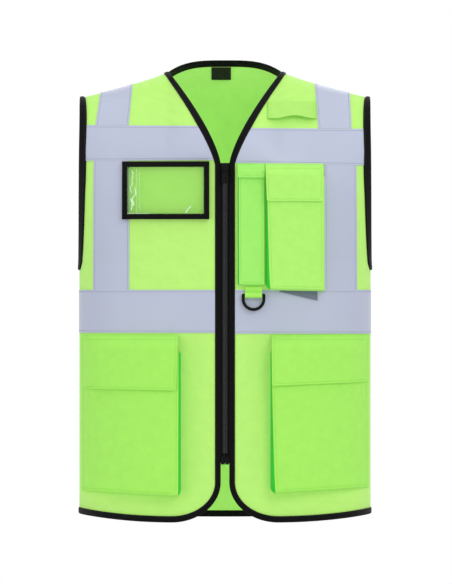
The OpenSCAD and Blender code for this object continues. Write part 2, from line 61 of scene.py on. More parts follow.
MM = 0.001
SEED = 7
Array = np.ndarray
Piece = bpy.types.Object
Tree = bpy.types.NodeTree
Node = bpy.types.Node
Socket = bpy.types.NodeSocket

# Offsets from the cloth's outer face, in millimetres.
CLOTH_BACK = -0.8
TAPE_UNDER = 0.05
TAPE_TOP = 1.05

# Levels of the reflective bands and the back's upright ones, in millimetres.
CHEST_TOP, CHEST_LOW = -75.0, -125.0
WAIST_TOP, WAIST_LOW = -306.0, -366.0
UPRIGHT = (136.0, 186.0)
BAND_GAP = 0.2
TAPE_INSET = 2.6
# Where stitches run across a band or a binding, as shares of its width.
TAPE_ROWS = (0.05, 0.95)
BINDING_ROW = 0.84
# Radius of the thin thread that bindings are sewn with, in millimetres.
FINE_THREAD = 0.26


class Face(Enum):
    """Which half of the body a piece lies on, by the sign of its Y."""

    FRONT = -1
    BACK = 1


class Hand(Enum):
    """The wearer's side, by the sign of its X."""

    LEFT = 1
    RIGHT = -1

    @property
    def word(self) -> str:
        """The side as the frame's names spell it."""
        return self.name.lower()


class Turn(Enum):
    """Direction of a ribbed or banded pattern over the cloth."""

    ALONG = "X"
    ACROSS = "Y"


# ---- Colour and shader nodes ---------------------------------------------------------


def linear(code: str) -> tuple[float, float, float, float]:
    """Turns an sRGB colour into the linear one that a shader takes.

    Args:
        code: The colour as "#rrggbb".

    Returns:
        Linear red, green, blue and an alpha of 1.
    """
    parts = [int(code[i : i + 2], 16) / 255 for i in (1, 3, 5)]
    r, g, b = (c / 12.92 if c <= 0.04045 else ((c + 0.055) / 1.055) ** 2.4 for c in parts)
    return (r, g, b, 1.0)


def add_node(
    tree: Tree,
    kind: str,
    settings: dict[str | int, object] | None = None,
    links: dict[str | int, Socket] | None = None,
) -> Node:
    """Adds one node, sets its properties and sockets, and links its inputs.

    Args:
        tree: The node tree that takes the node.
        kind: The node's type, such as "ShaderNodeBump".
        settings: Values by property name, or by input name or number.
        links: Output sockets by the input name or number that they feed.

    Returns:
        The new node.
    """
    node = tree.nodes.new(kind)
    for key, value in (settings or {}).items():
        if isinstance(key, str) and hasattr(node, key):
            setattr(node, key, value)
        else:
            node.inputs[key].default_value = value
    for key, socket in (links or {}).items():
        tree.links.new(socket, node.inputs[key])
    return node


@dataclass(frozen=True)
class Finish:
    """A surface finish: its colour, gloss and the record slot that it belongs to."""

    name: str
    colour: str
    roughness: float
    slot: str = "body_fabric"
    specular: float = 0.5

    def made(self) -> bpy.types.Material:
        """Makes the finish's material on the first call, and finds it again after that.

        Returns:
            The material.
        """
        found = bpy.data.materials.get(self.name)
        if found:
            return found
        material = bpy.data.materials.new(self.name)
        material.use_nodes = True
        tree = material.node_tree
        shader = tree.nodes["Principled BSDF"]
        shader.inputs["Base Color"].default_value = linear(self.colour)
        shader.inputs["Roughness"].default_value = self.roughness
        shader.inputs["Specular IOR Level"].default_value = self.specular
        self.detail(tree, shader)
        return material

    def detail(self, tree: Tree, shader: Node) -> None:
        """Adds the finish's own nodes; a plain finish has none."""

    def cloth_map(self, tree: Tree) -> Socket:
        """Returns the coordinates that lie along the cloth, in metres."""
        return add_node(tree, "ShaderNodeUVMap", {"uv_map": "cloth"}).outputs["UV"]

    def ripple(
        self, tree: Tree, where: Socket, turn: Turn, pitch: float
    ) -> Socket:
        """Adds evenly spaced ridges.

        Args:
            tree: The material's node tree.
            where: The coordinates, in metres.
            turn: The direction that the ridges follow each other in.
            pitch: The distance from ridge to ridge, in metres.

        Returns:
            The ridges' height from 0 to 1.
        """
        wave = add_node(
            tree,
            "ShaderNodeTexWave",
            {
                "bands_direction": turn.value,
                "Scale": math.pi / 10 / pitch,
                "Distortion": 0.6,
                "Detail": 1.0,
                "Detail Scale": 0.6,
            },
            {"Vector": where},
        )
        return wave.outputs["Fac"]

    def glow(self, shader: Node, share: float) -> None:
        """Adds a painted glow: an even emission in the cloth's own colour, for the light a
        fluorescent cloth gives back, which also lightens its shade.

        Args:
            shader: The cloth's shader.
            share: Strength of the painted glow; 0 for none.
        """
        if share > 0:
            shader.inputs["Emission Color"].default_value = linear(self.colour)
            shader.inputs["Emission Strength"].default_value = share

    def mottle(
        self,
        tree: Tree,
        shader: Node,
        where: Socket,
        scale: float,
        dark: float,
    ) -> None:
        """Varies the colour softly, from the finish's own down to a darker one.

        Args:
            tree: The material's node tree.
            shader: The shader whose base colour is varied.
            where: The coordinates, in metres.
            scale: Blotches per metre.
            dark: The darkest share of the finish's colour.
        """
        noise = add_node(
            tree,
            "ShaderNodeTexNoise",
            {"Scale": scale, "Detail": 4.0, "Roughness": 0.6},
            {"Vector": where},
        )
        base = linear(self.colour)
        low = tuple(c * dark for c in base[:3]) + (1.0,)
        ramp = add_node(tree, "ShaderNodeValToRGB", {}, {"Fac": noise.outputs["Fac"]})
        ramp.color_ramp.elements[0].position = 0.25
        ramp.color_ramp.elements[0].color = low
        ramp.color_ramp.elements[1].position = 0.72
        ramp.color_ramp.elements[1].color = base
        tree.links.new(ramp.outputs["Color"], shader.inputs["Base Color"])

    def emboss(
        self,
        tree: Tree,
        shader: Node,
        heights: Sequence[tuple[Socket, float]],
    ) -> None:
        """Stacks height patterns into the shader's normal.

        Args:
            tree: The material's node tree.
            shader: The shader that takes the normal.
            heights: Height sockets with how deep each one is, in metres.
        """
        below: dict[str | int, Socket] = {}
        for height, depth in heights:
            bump = add_node(
                tree,
                "ShaderNodeBump",
                {"Strength": 1.0, "Distance": depth},
                {"Height": height, **below},
            )
            below = {"Normal": bump.outputs["Normal"]}
        tree.links.new(below["Normal"], shader.inputs["Normal"])


@dataclass(frozen=True)
class KnitCloth(Finish):
    """Warp-knitted polyester: soft ribs a millimetre and a half apart."""

    pitch: float = 0.0016
    # Strength of a painted glow: an even emission that lightens the cloth's shade.
    painted_glow: float = 0.13
    twill: float = 1.0

    def detail(self, tree: Tree, shader: Node) -> None:
        """Adds the knit's ribs and courses, a soft mottle, the nap's sheen and a painted glow.

        Args:
            tree: The material's node tree.
            shader: Its shader.
        """
        where = self.cloth_map(tree)
        # Real wales are 0.8 mm apart; they are drawn twice as coarse so that they can be seen.
        ribs = self.ripple(tree, where, Turn.ALONG, self.pitch)
        courses = self.ripple(tree, where, Turn.ACROSS, self.pitch * 1.3)
        slack = {"Scale": 28.0, "Detail": 3.0, "Distortion": 0.8}
        crease = add_node(tree, "ShaderNodeTexNoise", slack, {"Vector": where}).outputs["Fac"]
        self.emboss(tree, shader, [(ribs, 0.00010), (courses, 0.00007), (crease, 0.0014)])
        self.mottle(tree, shader, where, 55.0, 0.93)
        shader.inputs["Sheen Weight"].default_value = 0.1
        shader.inputs["Sheen Roughness"].default_value = 0.5
        self.glow(shader, self.painted_glow)
        if self.twill < 1:
            self.lines(tree, shader, where)

    def lines(
        self, tree: Tree, shader: Node, where: Socket
    ) -> None:
        """Darkens fine slanting lines, which the knit shows on its inner face.

        Args:
            tree: The material's node tree.
            shader: The cloth's shader, with its colour already linked.
            where: The coordinates, in metres.
        """
        slant = add_node(
            tree,
            "ShaderNodeMapping",
            {"Rotation": (0.0, 0.0, math.radians(28))},
            {"Vector": where},
        )
        wave = self.ripple(tree, slant.outputs["Vector"], Turn.ALONG, 0.0030)
        shade = add_node(
            tree, "ShaderNodeMapRange", {"To Min": self.twill, "To Max": 1.0}, {"Value": wave}
        )
        plain = shader.inputs["Base Color"].links[0].from_socket
        for socket in ("Base Color", "Emission Color"):
            scaled = add_node(
                tree,
                "ShaderNodeVectorMath",
                {"operation": "SCALE"},
                {0: plain, "Scale": shade.outputs["Result"]},
            )
            tree.links.new(scaled.outputs["Vector"], shader.inputs[socket])


@dataclass(frozen=True)
class WovenCloth(Finish):
    """Plain-woven polyester: warp and weft crossing in a fine grid."""

    pitch: float = 0.0013
    # Strength of a painted glow: an even emission that lightens the cloth's shade.
    painted_glow: float = 0.12

    def detail(self, tree: Tree, shader: Node) -> None:
        """Adds the weave's grid, faint creases, a soft mottle and a painted glow.

        Args:
            tree: The material's node tree.
            shader: Its shader.
        """
        where = self.cloth_map(tree)
        # Real threads are 0.4 mm apart; the grid is coarser so that it reads as a weave.
        warp = self.ripple(tree, where, Turn.ALONG, self.pitch)
        weft = self.ripple(tree, where, Turn.ACROSS, self.pitch)
        grid = add_node(tree, "ShaderNodeMath", {"operation": "MULTIPLY"}, {0: warp, 1: weft})
        slack = {"Scale": 34.0, "Detail": 3.0, "Distortion": 1.2}
        crease = add_node(tree, "ShaderNodeTexNoise", slack, {"Vector": where}).outputs["Fac"]
        self.emboss(tree, shader, [(grid.outputs["Value"], 0.00014), (crease, 0.0012)])
        self.mottle(tree, shader, where, 70.0, 0.93)
        shader.inputs["Sheen Weight"].default_value = 0.06
        self.glow(shader, self.painted_glow)


@dataclass(frozen=True)
class ReflectiveTape(Finish):
    """Glass-bead tape: an even grey with a fine sparkle and a faint cross weave."""

    bead: float = 0.0009

    def detail(self, tree: Tree, shader: Node) -> None:
        """Adds the bead grain, the backing's weave and a pearly gloss.

        Args:
            tree: The material's node tree.
            shader: Its shader.
        """
        where = self.cloth_map(tree)
        # Beads are 0.05 mm; the grain is drawn at about a millimetre to be seen at all.
        grain = add_node(
            tree,
            "ShaderNodeTexVoronoi",
            {"Scale": 1 / self.bead, "feature": "F1"},
            {"Vector": where},
        )
        weave = self.ripple(tree, where, Turn.ALONG, 0.0022)
        slack = {"Scale": 22.0, "Detail": 2.0, "Distortion": 0.5}
        crease = add_node(tree, "ShaderNodeTexNoise", slack, {"Vector": where}).outputs["Fac"]
        beads = grain.outputs["Distance"]
        self.emboss(tree, shader, [(beads, 0.00006), (weave, 0.00004), (crease, 0.0010)])
        self.mottle(tree, shader, where, 900.0, 0.90)
        shader.inputs["Metallic"].default_value = 0.1
        shader.inputs["Sheen Weight"].default_value = 0.25
        shader.inputs["Sheen Roughness"].default_value = 0.3


@dataclass(frozen=True)
class RibbedBinding(Finish):
    """Woven binding tape with cross ribs that catch the light along its folded edge."""

    rib: float = 0.0013

    def detail(self, tree: Tree, shader: Node) -> None:
        """Adds the ribs and a faint dusty mottle.

        Args:
            tree: The material's node tree.
            shader: Its shader.
        """
        where = self.cloth_map(tree)
        ribs = self.ripple(tree, where, Turn.ALONG, self.rib)
        grain = add_node(
            tree, "ShaderNodeTexNoise", {"Scale": 900.0, "Detail": 2.0}, {"Vector": where}
        )
        self.emboss(tree, shader, [(ribs, 0.00022), (grain.outputs["Fac"], 0.00008)])
        self.mottle(tree, shader, where, 120.0, 0.7)
        shader.inputs["Sheen Weight"].default_value = 0.04


@dataclass(frozen=True)
class Moulded(Finish):
    """Moulded acetal: a satin surface with a fine spark-eroded grain."""

    def detail(self, tree: Tree, shader: Node) -> None:
        """Adds the mould's grain and slight gloss changes.

        Args:
            tree: The material's node tree.
            shader: Its shader.
        """
        where = add_node(tree, "ShaderNodeTexCoord").outputs["Object"]
        grain = add_node(
            tree, "ShaderNodeTexNoise", {"Scale": 1500.0, "Detail": 2.0}, {"Vector": where}
        )
        self.emboss(tree, shader, [(grain.outputs["Fac"], 0.00005)])
        self.mottle(tree, shader, where, 260.0, 0.75)


@dataclass(frozen=True)
class ClearVinyl(Finish):
    """Soft clear vinyl: thin, glossy and a little wavy, tinted by the cloth behind it, with painted
    glare along its creases.
    """

    cover: float = 0.14

    def detail(self, tree: Tree, shader: Node) -> None:
        """Adds the film's waves and the painted glare along its creases, and lets most of the light
        through.

        Args:
            tree: The material's node tree.
            shader: Its shader.
        """
        where = self.cloth_map(tree)
        wave = add_node(
            tree,
            "ShaderNodeTexNoise",
            {"Scale": 16.0, "Detail": 1.0, "Distortion": 1.5},
            {"Vector": where},
        )
        self.emboss(tree, shader, [(wave.outputs["Fac"], 0.0035)])
        # Painted glare: the film is mixed towards white and made more opaque along its crease lines,
        # standing in for the highlights they catch; the mesh's crease attribute says where.
        glare = add_node(tree, "ShaderNodeAttribute", {"attribute_name": "crease"}).outputs["Fac"]
        cover = add_node(
            tree, "ShaderNodeMapRange", {"To Min": self.cover, "To Max": 0.95}, {"Value": glare}
        )
        tint = add_node(
            tree,
            "ShaderNodeMix",
            {"data_type": "RGBA", 6: linear(self.colour), 7: linear("#f4fff0")},
            {0: glare},
        )
        tree.links.new(tint.outputs[2], shader.inputs["Base Color"])
        tree.links.new(cover.outputs["Result"], shader.inputs["Alpha"])
        shader.inputs["IOR"].default_value = 1.53


@dataclass(frozen=True)
class LoopTape(Finish):
    """The loop half of a hook-and-loop closure: a tangled pile."""

    def detail(self, tree: Tree, shader: Node) -> None:
        """Adds the pile's clumps.

        Args:
            tree: The material's node tree.
            shader: Its shader.
        """
        where = self.cloth_map(tree)
        pile = add_node(
            tree, "ShaderNodeTexNoise", {"Scale": 1100.0, "Detail": 3.0}, {"Vector": where}
        )
        self.emboss(tree, shader, [(pile.outputs["Fac"], 0.0006)])
        self.mottle(tree, shader, where, 700.0, 0.75)
        shader.inputs["Sheen Weight"].default_value = 0.4


GREEN_CLOTH = KnitCloth("neon_knit_polyester", "#b3e873", 0.85, "body_fabric", 0.2)
# The inner face glows more strongly: painted glow that lightens the shaded inside of the back.
GREEN_LINING = KnitCloth("neon_knit_inside", "#b0ea76", 0.9, "body_fabric", 0.15, painted_glow=0.3, twill=0.91)
POCKET_CLOTH = WovenCloth("neon_woven_polyester", "#a0e55e", 0.8, "pocket_fabric", 0.25)
PHONE_CLOTH = WovenCloth("neon_woven_polyester_pale", "#a9e86b", 0.8, "pocket_fabric", 0.25)
STRAP_CLOTH = WovenCloth("neon_webbing", "#a9e06c", 0.8, "pocket_fabric", 0.2)
PEN_CLOTH = WovenCloth("neon_woven_polyester_cool", "#9be568", 0.8, "pocket_fabric", 0.25)
# Painted shade: a deep green for the inner bellows walls, standing in for the shadow that falls
# there.
GUSSET_PAINTED_SHADE = WovenCloth("gusset_painted_shade", "#2fc433", 0.85, "pocket_fabric", 0.15)
SILVER_TAPE = ReflectiveTape("glass_bead_tape", "#bbc1d6", 0.5, "reflective_tape", 0.4)
BLACK_BINDING = RibbedBinding("black_ribbed_binding", "#070608", 0.75, "binding", 0.12)
ZIP_TAPE = RibbedBinding("black_zip_tape", "#070608", 0.8, "zip_tape", 0.12)
ACETAL = Moulded("black_moulded_acetal", "#070608", 0.34, "zip_plastic", 0.15)
# Painted highlight: the teeth are black plastic like the slider, drawn dark grey so that they read as
# catching light.
PAINTED_LIGHT_TEETH = Moulded("black_teeth_painted_highlight", "#232328", 0.3, "zip_plastic", 0.5)
VINYL = ClearVinyl("clear_soft_vinyl", "#8fdc5c", 0.1, "clear_window", 0.5)
LOOP = LoopTape("hook_and_loop_pile", "#8fe03c", 0.95, "hook_and_loop", 0.1)
LABEL = WovenCloth("black_satin_label", "#0e0d10", 0.45, "label_fabric", 0.3, painted_glow=0.0)
TAG = WovenCloth("grey_woven_tag", "#6f7788", 0.7, "tag_fabric", 0.3, painted_glow=0.0)
GREEN_THREAD = Finish("neon_thread", "#7fdc35", 0.6, "pocket_fabric", 0.3)
GREY_THREAD = Finish("grey_thread", "#858ca6", 0.6, "reflective_tape", 0.3)
BLACK_THREAD = Finish("black_thread", "#2a282e", 0.6, "binding", 0.3)


# ---- The body surface ----------------------------------------------------------------


def clamp(v: Array | float) -> Array:
    """Limits values to the range from 0 to 1."""
    return np.clip(v, 0.0, 1.0)


def between(a: Array, b: Array, w: Array) -> Array:
    """Values between a and b at share w."""
    return a + (b - a) * w


@dataclass(frozen=True)
class Skin:
    """The vest's outer face as worn, in millimetres, the same surface as the frame's."""

    half_w: float = 205.0
    front_d: float = 128.0
    back_d: float = 118.0
    bow_n: float = 2.5
    shoulder_drop: float = 36.0
    arm_h: float = 234.0
    arm_d: float = 65.0
    hem_z: float = -632.5
    seam_gap: float = 0.4
    split_z: float = -74.0
    neck_half: float = 80.0
    neck_end: float = 84.0
    neck_rise: float = 18.3
    v_foot: float = -130.0
    crest_h: float = 14.0
    crest_r: float = 32.0
    slope_h: float = 150.0
    zip_half: float = 14.0
    binding_w: float = 8.0
    corner: tuple[float, float] = (75.0, -576.0)
    corner_a: float = 69.0
    folds: tuple[tuple[float, ...], ...] = field(default=())

    @property
    def arm_top(self) -> float:
        """Height of the shoulder tip."""
        return -self.shoulder_drop

    @property
    def arm_low(self) -> float:
        """Height of the armhole's lowest point."""
        return self.arm_top - self.arm_h

    @property
    def arm_mid(self) -> float:
        """Height of the armhole's middle."""
        return self.arm_top - self.arm_h / 2

    def neck_back_z(self, x: Array) -> Array:
        """Upper edge of the back neck."""
        a = np.minimum(np.abs(x) / self.neck_half, 1)
        return self.neck_rise - (self.neck_rise - 1) * a**3.4

    def slope_part(self, a: Array) -> Array:
        """How far the shoulder has fallen at a distance from the centre, unscaled."""
        return np.maximum(a - self.neck_half + 4, 0) ** 0.8

    def seam_z(self, x: Array) -> Array:
        """Height of the shoulder seam, continued over the back of the neck.

        Args:
            x: Distance from the centre.

        Returns:
            The heights.
        """
        a = np.abs(np.asarray(x, float))
        start = self.slope_part(self.neck_half)
        share = (self.slope_part(a) - start) / (self.slope_part(self.half_w) - start)
        rise = self.neck_back_z(a) + 9 * (1 - (a / self.neck_half) ** 2)
        return np.where(a > self.neck_half, 1 - (self.shoulder_drop + 1) * share, rise)

    def v_free(self, z: Array) -> Array:
        """Free edge of the binding along the V of the neck and the zip."""
        return 6 + 72 * clamp(1 - z / self.v_foot) ** 1.4

    def v_seam(self, z: Array) -> Array:
        """Inner edge of the binding along the V of the neck and the zip."""
        return self.zip_half + 70 * clamp(1 - z / self.v_foot) ** 1.3

    def arm_t(self, z: Array) -> Array:
        """How far down the armhole a height is, from 0 to 1."""
        return clamp((self.arm_top - z) / self.arm_h)

    def edge_y(self, z: Array) -> Array:
        """Depth of the armhole's edge from the side plane."""
        t = self.arm_t(z)
        return 2 * self.arm_d * np.sqrt(t * (1 - t))

    def bow(self, a: Array) -> Array:
        """Plan curve of the body from the side to the centre."""
        return np.maximum(1 - np.minimum(a, 1) ** self.bow_n, 0) ** (1 / self.bow_n)

    def across(self, x: Array, z: Array) -> Array:
        """Share of the middle's depth that is left at a distance from the centre.

        Args:
            x: Distance from the centre.
            z: Height.

        Returns:
            The shares.
        """
        t = self.arm_t(z)
        k = 1 + 0.2 * t * (1 - t)
        e = self.bow(1 / k)
        return (self.bow(np.abs(x) / self.half_w / k) - e) / (1 - e)

    def depth(self, x: Array, z: Array, full: float) -> Array:
        """Depth of the surface from the side plane.

        Args:
            x: Distance from the centre.
            z: Height.
            full: Depth at the centre below the chest.

        Returns:
            The depth, always positive.
        """
        d = np.maximum(self.seam_z(x) - z, 0)
        crest = self.crest_r * np.sqrt(1 - (1 - np.minimum(d / self.crest_h, 1)) ** 2)
        fall = np.sin(np.pi / 2 * np.minimum(d / self.slope_h, 1)) ** 1.3
        middle = crest + (full - self.crest_r) * fall
        edge = self.edge_y(z)
        return edge + (middle - edge) * self.across(x, z)

    def point(self, face: Face, x: Array, z: Array) -> Array:
        """Point of the smooth surface, on the wearer's left.

        Args:
            face: The front or the back.
            x: Distance from the centre.
            z: Height.

        Returns:
            The points.
        """
        cx = np.clip(x, -self.half_w, self.half_w)
        full = self.front_d if face is Face.FRONT else self.back_d
        y = face.value * (self.seam_gap + self.depth(cx, z, full))
        return np.stack(np.broadcast_arrays(cx, y, z), -1)

    def normal(self, face: Face, x: Array, z: Array) -> Array:
        """Outward direction of the smooth surface, kept level below the shoulders.

        Args:
            face: The front or the back.
            x: Distance from the centre.
            z: Height.

        Returns:
            The directions, of length 1.
        """
        h = 0.4
        along = self.point(face, x + h, z) - self.point(face, x - h, z)
        up = self.point(face, x, z + h) - self.point(face, x, z - h)
        n = face.value * np.cross(up, along)
        n[..., 2] *= clamp((z - self.split_z) / 24)
        return n / np.linalg.norm(n, axis=-1, keepdims=True)

    def relief(self, face: Face, x: Array, z: Array) -> Array:
        """Soft waves of worn cloth, shared by every layer so that none meets another.

        Args:
            face: The front or the back.
            x: Signed distance from the centre.
            z: Height.

        Returns:
            The height of the waves, in millimetres.
        """
        total = np.zeros(np.broadcast(x, z).shape)
        for height, kx, kz, phase, turn in self.folds:
            total = total + height * np.sin(kx * x + kz * z + phase + turn * face.value)
        side = 1 - np.minimum(np.abs(x) / self.half_w, 1) ** 12
        top = clamp((-z - 30) / 90)
        middle = 1.0
        if face is Face.FRONT:
            middle = 1 - np.exp(-((np.maximum(np.abs(x) - 14, 0) / 34) ** 2))
        return total * side * top * middle

    def place(self, face: Face, hand: Hand, x: Array, z: Array, o: Array) -> Array:
        """Point at an offset from the draped cloth's outer face.

        Args:
            face: The front or the back.
            hand: The side that positive x is on.
            x: Distance from the centre towards that side.
            z: Height.
            o: Offset outward.

        Returns:
            Points in the row frame, in millimetres, one more axis than the inputs.
        """
        x, z, o = np.broadcast_arrays(*(np.asarray(v, float) for v in (x, z, o)))
        lift = o + self.relief(face, hand.value * x, z)
        out = self.point(face, x, z) + lift[..., None] * self.normal(face, x, z)
        out[..., 0] *= hand.value
        return out

    def forward(self, hand: Hand, x: Array, z: Array, o: Array) -> Array:
        """Point of a raised front piece, lifted straight forward so that it isn't spread sideways.

        Args:
            hand: The side that positive x is on.
            x: Distance from the centre towards that side.
            z: Height.
            o: Clearance from the cloth's outer face.

        Returns:
            Points in the row frame, in millimetres.
        """
        x, z, o = np.broadcast_arrays(*(np.asarray(v, float) for v in (x, z, o)))
        out = self.place(Face.FRONT, hand, x, z, np.minimum(o, 1.5))
        square = np.abs(self.normal(Face.FRONT, x, z)[..., 1])
        out[..., 1] -= np.maximum(o - 1.5, 0) / np.maximum(square, 0.72)
        return out

    def search(self, test: Callable[[Array], Array], like: Array) -> Array:
        """Finds the x near the side at which a test turns false.

        Args:
            test: Takes x values and says which are still too near the centre.
            like: An array of the result's shape.

        Returns:
            The x values.
        """
        low = np.full(like.shape, self.half_w - 45.0)
        high = np.full(like.shape, self.half_w)
        for _ in range(18):
            mid = (low + high) / 2
            inside = test(mid)
            low = np.where(inside, mid, low)
            high = np.where(inside, high, mid)
        return (low + high) / 2

    def arm_seam(self, face: Face, z: Array) -> Array:
        """Seam line of the armhole's binding at each height.

        Args:
            face: The front or the back.
            z: Heights.

        Returns:
            Distances from the centre.
        """
        z = np.asarray(z, float)
        w = self.binding_w
        t = clamp((self.arm_mid + self.arm_h / 2 + w - z) / (self.arm_h + 2 * w))
        oval = self.seam_gap + 2 * (self.arm_d + w) * np.sqrt(t * (1 - t))
        edge = self.point(face, np.full(z.shape, self.half_w), z)
        deep = self.search(lambda x: np.abs(self.point(face, x, z)[..., 1]) > oval, z)
        far = self.search(
            lambda x: np.linalg.norm(self.point(face, x, z) - edge, axis=-1) > w, z
        )
        high = clamp((z - self.arm_mid) / 40)
        return np.where(z <= self.arm_low - w, self.half_w, (1 - high) * deep + high * far)

    def front_hem(self, x: Array) -> Array:
        """Lower edge of the front hem's binding."""
        over = np.maximum(np.abs(x) - self.corner[0], 0) / (self.half_w - self.corner[0])
        return self.hem_z + 11 * over**2

    def back_hem(self, x: Array) -> Array:
        """Lower edge of the back hem's binding."""
        return self.hem_z + 4.5 + 6.5 * (np.abs(x) / self.half_w) ** 2

    def full_row(self, count: int) -> Array:
        """Signed x values from side to side, with this many on each half."""
        half = self.half_w * np.sin(np.pi / 2 * np.linspace(0, 1, count)) ** (2 / self.bow_n)
        return np.concatenate([-half[:0:-1], half])

    def columns(self, inner: Array, outer: Array, count: int) -> Array:
        """Spreads x values between two edges, closer together towards the side.

        Args:
            inner: The inner edge of each row.
            outer: The outer edge of each row.
            count: Values in a row.

        Returns:
            x values, one row for each pair of edges.
        """
        turn = np.sin(np.pi / 2 * np.linspace(0, 1, count)) ** (2 / self.bow_n)
        even = np.linspace(0, 1, count)
        share = 0.75 * turn + 0.25 * even
        return inner[:, None] + (outer - inner)[:, None] * share[None, :]


@dataclass(frozen=True)
class Bands:
    """Where one front's reflective bands run; they are sewn a little unevenly."""

    chest_top: tuple[float, float]
    chest_low: tuple[float, float]
    waist_low: float
    upright: tuple[float, float]
    shoulder: tuple[float, float]
    peak: tuple[float, float]

    def level(self, ends: tuple[float, float], x: Array) -> Array:
        """Height of an edge that runs from the centre to the armhole."""
        return ends[0] + (ends[1] - ends[0]) * np.abs(x) / 205.0

    def rising(self, share: Array | float, w: Array, foot: tuple[float, float]) -> Array:
        """Distance from the centre along the upright band's upper part.

        Args:
            share: Place across the band, from 0 to 1.
            w: How far up from the chest band to the shoulder seam.
            foot: Where the part's two edges start.

        Returns:
            The distances.
        """
        return between(
            foot[0] + (foot[1] - foot[0]) * share,
            self.peak[0] + (self.peak[1] - self.peak[0]) * share,
            w,
        )


BANDS = {
    Hand.LEFT: Bands(
        (-78.6, -79.2), (-127.8, -131.0), -367.6, (139.5, 185), (130.8, 178), (126.4, 176)
    ),
    Hand.RIGHT: Bands(
        (-76.0, -73.8), (-124.0, -124.6), -366.4, (134.2, 184), (135.6, 182), (130.2, 175.6)
    ),
}


def cloth_folds(seed: int) -> tuple[tuple[float, ...], ...]:
    """Chooses the waves of the worn cloth.

    Args:
        seed: Start of the random sequence, so that every run gives the same cloth.

    Returns:
        Height, two wave numbers and two phases for each wave.
    """
    rng = np.random.default_rng(seed)
    folds = []
    for length, height in ((260, 0.9), (170, 0.6), (120, 0.4), (95, 0.35), (64, 0.22), (47, 0.14)):
        angle = rng.uniform(-0.9, 0.9)
        k = 2 * math.pi / length
        folds.append(
            (height, k * math.cos(angle), k * math.sin(angle), *rng.uniform(0, 6.28, 2))
        )
    return tuple(folds)


SKIN = Skin(folds=cloth_folds(SEED))


# ---- Mesh makers ---------------------------------------------------------------------


@dataclass
class Maker:
    """Turns grids of millimetre points into finished Blender objects."""

    made: list[Piece] = field(default_factory=list)

    def mesh(
        self,
        name: str,
        points: Array,
        faces: list[tuple[int, ...]],
        uvs: Array,
        finish: Finish,
        sharp: float = 42.0,
    ) -> Piece:
        """Makes an object with smooth shading and cloth coordinates.

        Args:
            name: The object's name.
            points: Points in millimetres.
            faces: Corner numbers of each face.
            uvs: Distance along and across the cloth at each point, in millimetres.
            finish: The object's finish.
            sharp: Edges that turn more than this many degrees stay crisp.

        Returns:
            The new object.
        """
        data = bpy.data.meshes.new(name)
        data.from_pydata([tuple(p) for p in points * MM], [], faces)
        work = bmesh.new()
        work.from_mesh(data)
        bmesh.ops.recalc_face_normals(work, faces=work.faces)
        work.to_mesh(data)
        work.free()
        corners = np.empty(len(data.loops), dtype=np.int32)
        data.loops.foreach_get("vertex_index", corners)
        layer = data.uv_layers.new(name="cloth")
        layer.data.foreach_set("uv", (uvs[corners] * MM).astype(np.float32).ravel())
        data.shade_smooth()
        data.set_sharp_from_angle(angle=math.radians(sharp))
        data.materials.append(finish.made())
        made = bpy.data.objects.new(name, data)
        bpy.context.scene.collection.objects.link(made)
        self.made.append(made)
        log.info("%s: %d faces", name, len(faces))
        return made

    def sheet(
        self, name: str, outer: Array, inner: Array, finish: Finish, sharp: float = 42.0
    ) -> Piece:
        """Makes a closed sheet between two grids.

        Args:
            name: The object's name.
            outer: Grid of outer points, rows by columns by three.
            inner: Grid of inner points of the same shape.
            finish: The sheet's finish.
            sharp: Edges that turn more than this many degrees stay crisp.

        Returns:
            The new object.
        """
        rows, cols = outer.shape[:2]
        half = rows * cols
        at = np.arange(half).reshape(rows, cols)
        a, b, c, d = at[:-1, :-1], at[:-1, 1:], at[1:, 1:], at[1:, :-1]
        top = np.stack([a, b, c, d], -1).reshape(-1, 4)
        under = np.stack([a, d, c, b], -1).reshape(-1, 4) + half
        ring = np.concatenate([at[0, :-1], at[:-1, -1], at[-1, :0:-1], at[:0:-1, 0]])
        after = np.roll(ring, -1)
        rim = np.stack([after, ring, ring + half, after + half], -1)
        faces = [tuple(int(i) for i in f) for f in np.concatenate([top, under, rim])]
        uv = surface_lengths(outer).reshape(-1, 2)
        points = np.concatenate([outer.reshape(-1, 3), inner.reshape(-1, 3)])
        return self.mesh(name, points, faces, np.concatenate([uv, uv]), finish, sharp)

    def layer(
        self,
        name: str,
        spot: tuple[Face, Hand, Array, Array],
        top: Array | float,
        under: Array | float,
        finish: Finish,
    ) -> tuple[Piece, Array]:
        """Lays a sheet over a part of the body.

        Args:
            name: The object's name.
            spot: The face, the side that positive x is on, and the grids of x and z.
            top: Offset of its outer face.
            under: Offset of its inner face.
            finish: The sheet's finish.

        Returns:
            The new object, and the grid of its outer face.
        """
        outer = SKIN.place(*spot, top)
        return self.sheet(name, outer, SKIN.place(*spot, under), finish), outer

    def line(self, piece: Piece, shape: tuple[int, int]) -> None:
        """Gives a sheet of knit its inner face's look: slanting lines and a stronger painted glow
        that lightens the shaded inside.

        Args:
            piece: A sheet made by this maker.
            shape: Rows and columns of its grid.
        """
        piece.data.materials.append(GREEN_LINING.made())
        count = (shape[0] - 1) * (shape[1] - 1)
        index = np.zeros(len(piece.data.polygons), dtype=np.int32)
        index[count : 2 * count] = 1
        piece.data.polygons.foreach_set("material_index", index)

    def solids(
        self, name: str, parts: Sequence[Array], finish: Finish, sharp: float = 50.0
    ) -> Piece:
        """Makes one object of capped solids.

        Args:
            name: The object's name.
            parts: Section rings of each solid, rings by points by three.
            finish: The solids' finish.
            sharp: Edges that turn more than this many degrees stay crisp.

        Returns:
            The new object.
        """
        points, faces, uvs = [], [], []
        start = 0
        for rings in parts:
            p, f, uv = ring_faces(rings)
            points.append(p)
            uvs.append(uv)
            faces += [tuple(i + start for i in corners) for corners in f]
            start += len(p)
        return self.mesh(name, np.concatenate(points), faces, np.concatenate(uvs), finish, sharp)


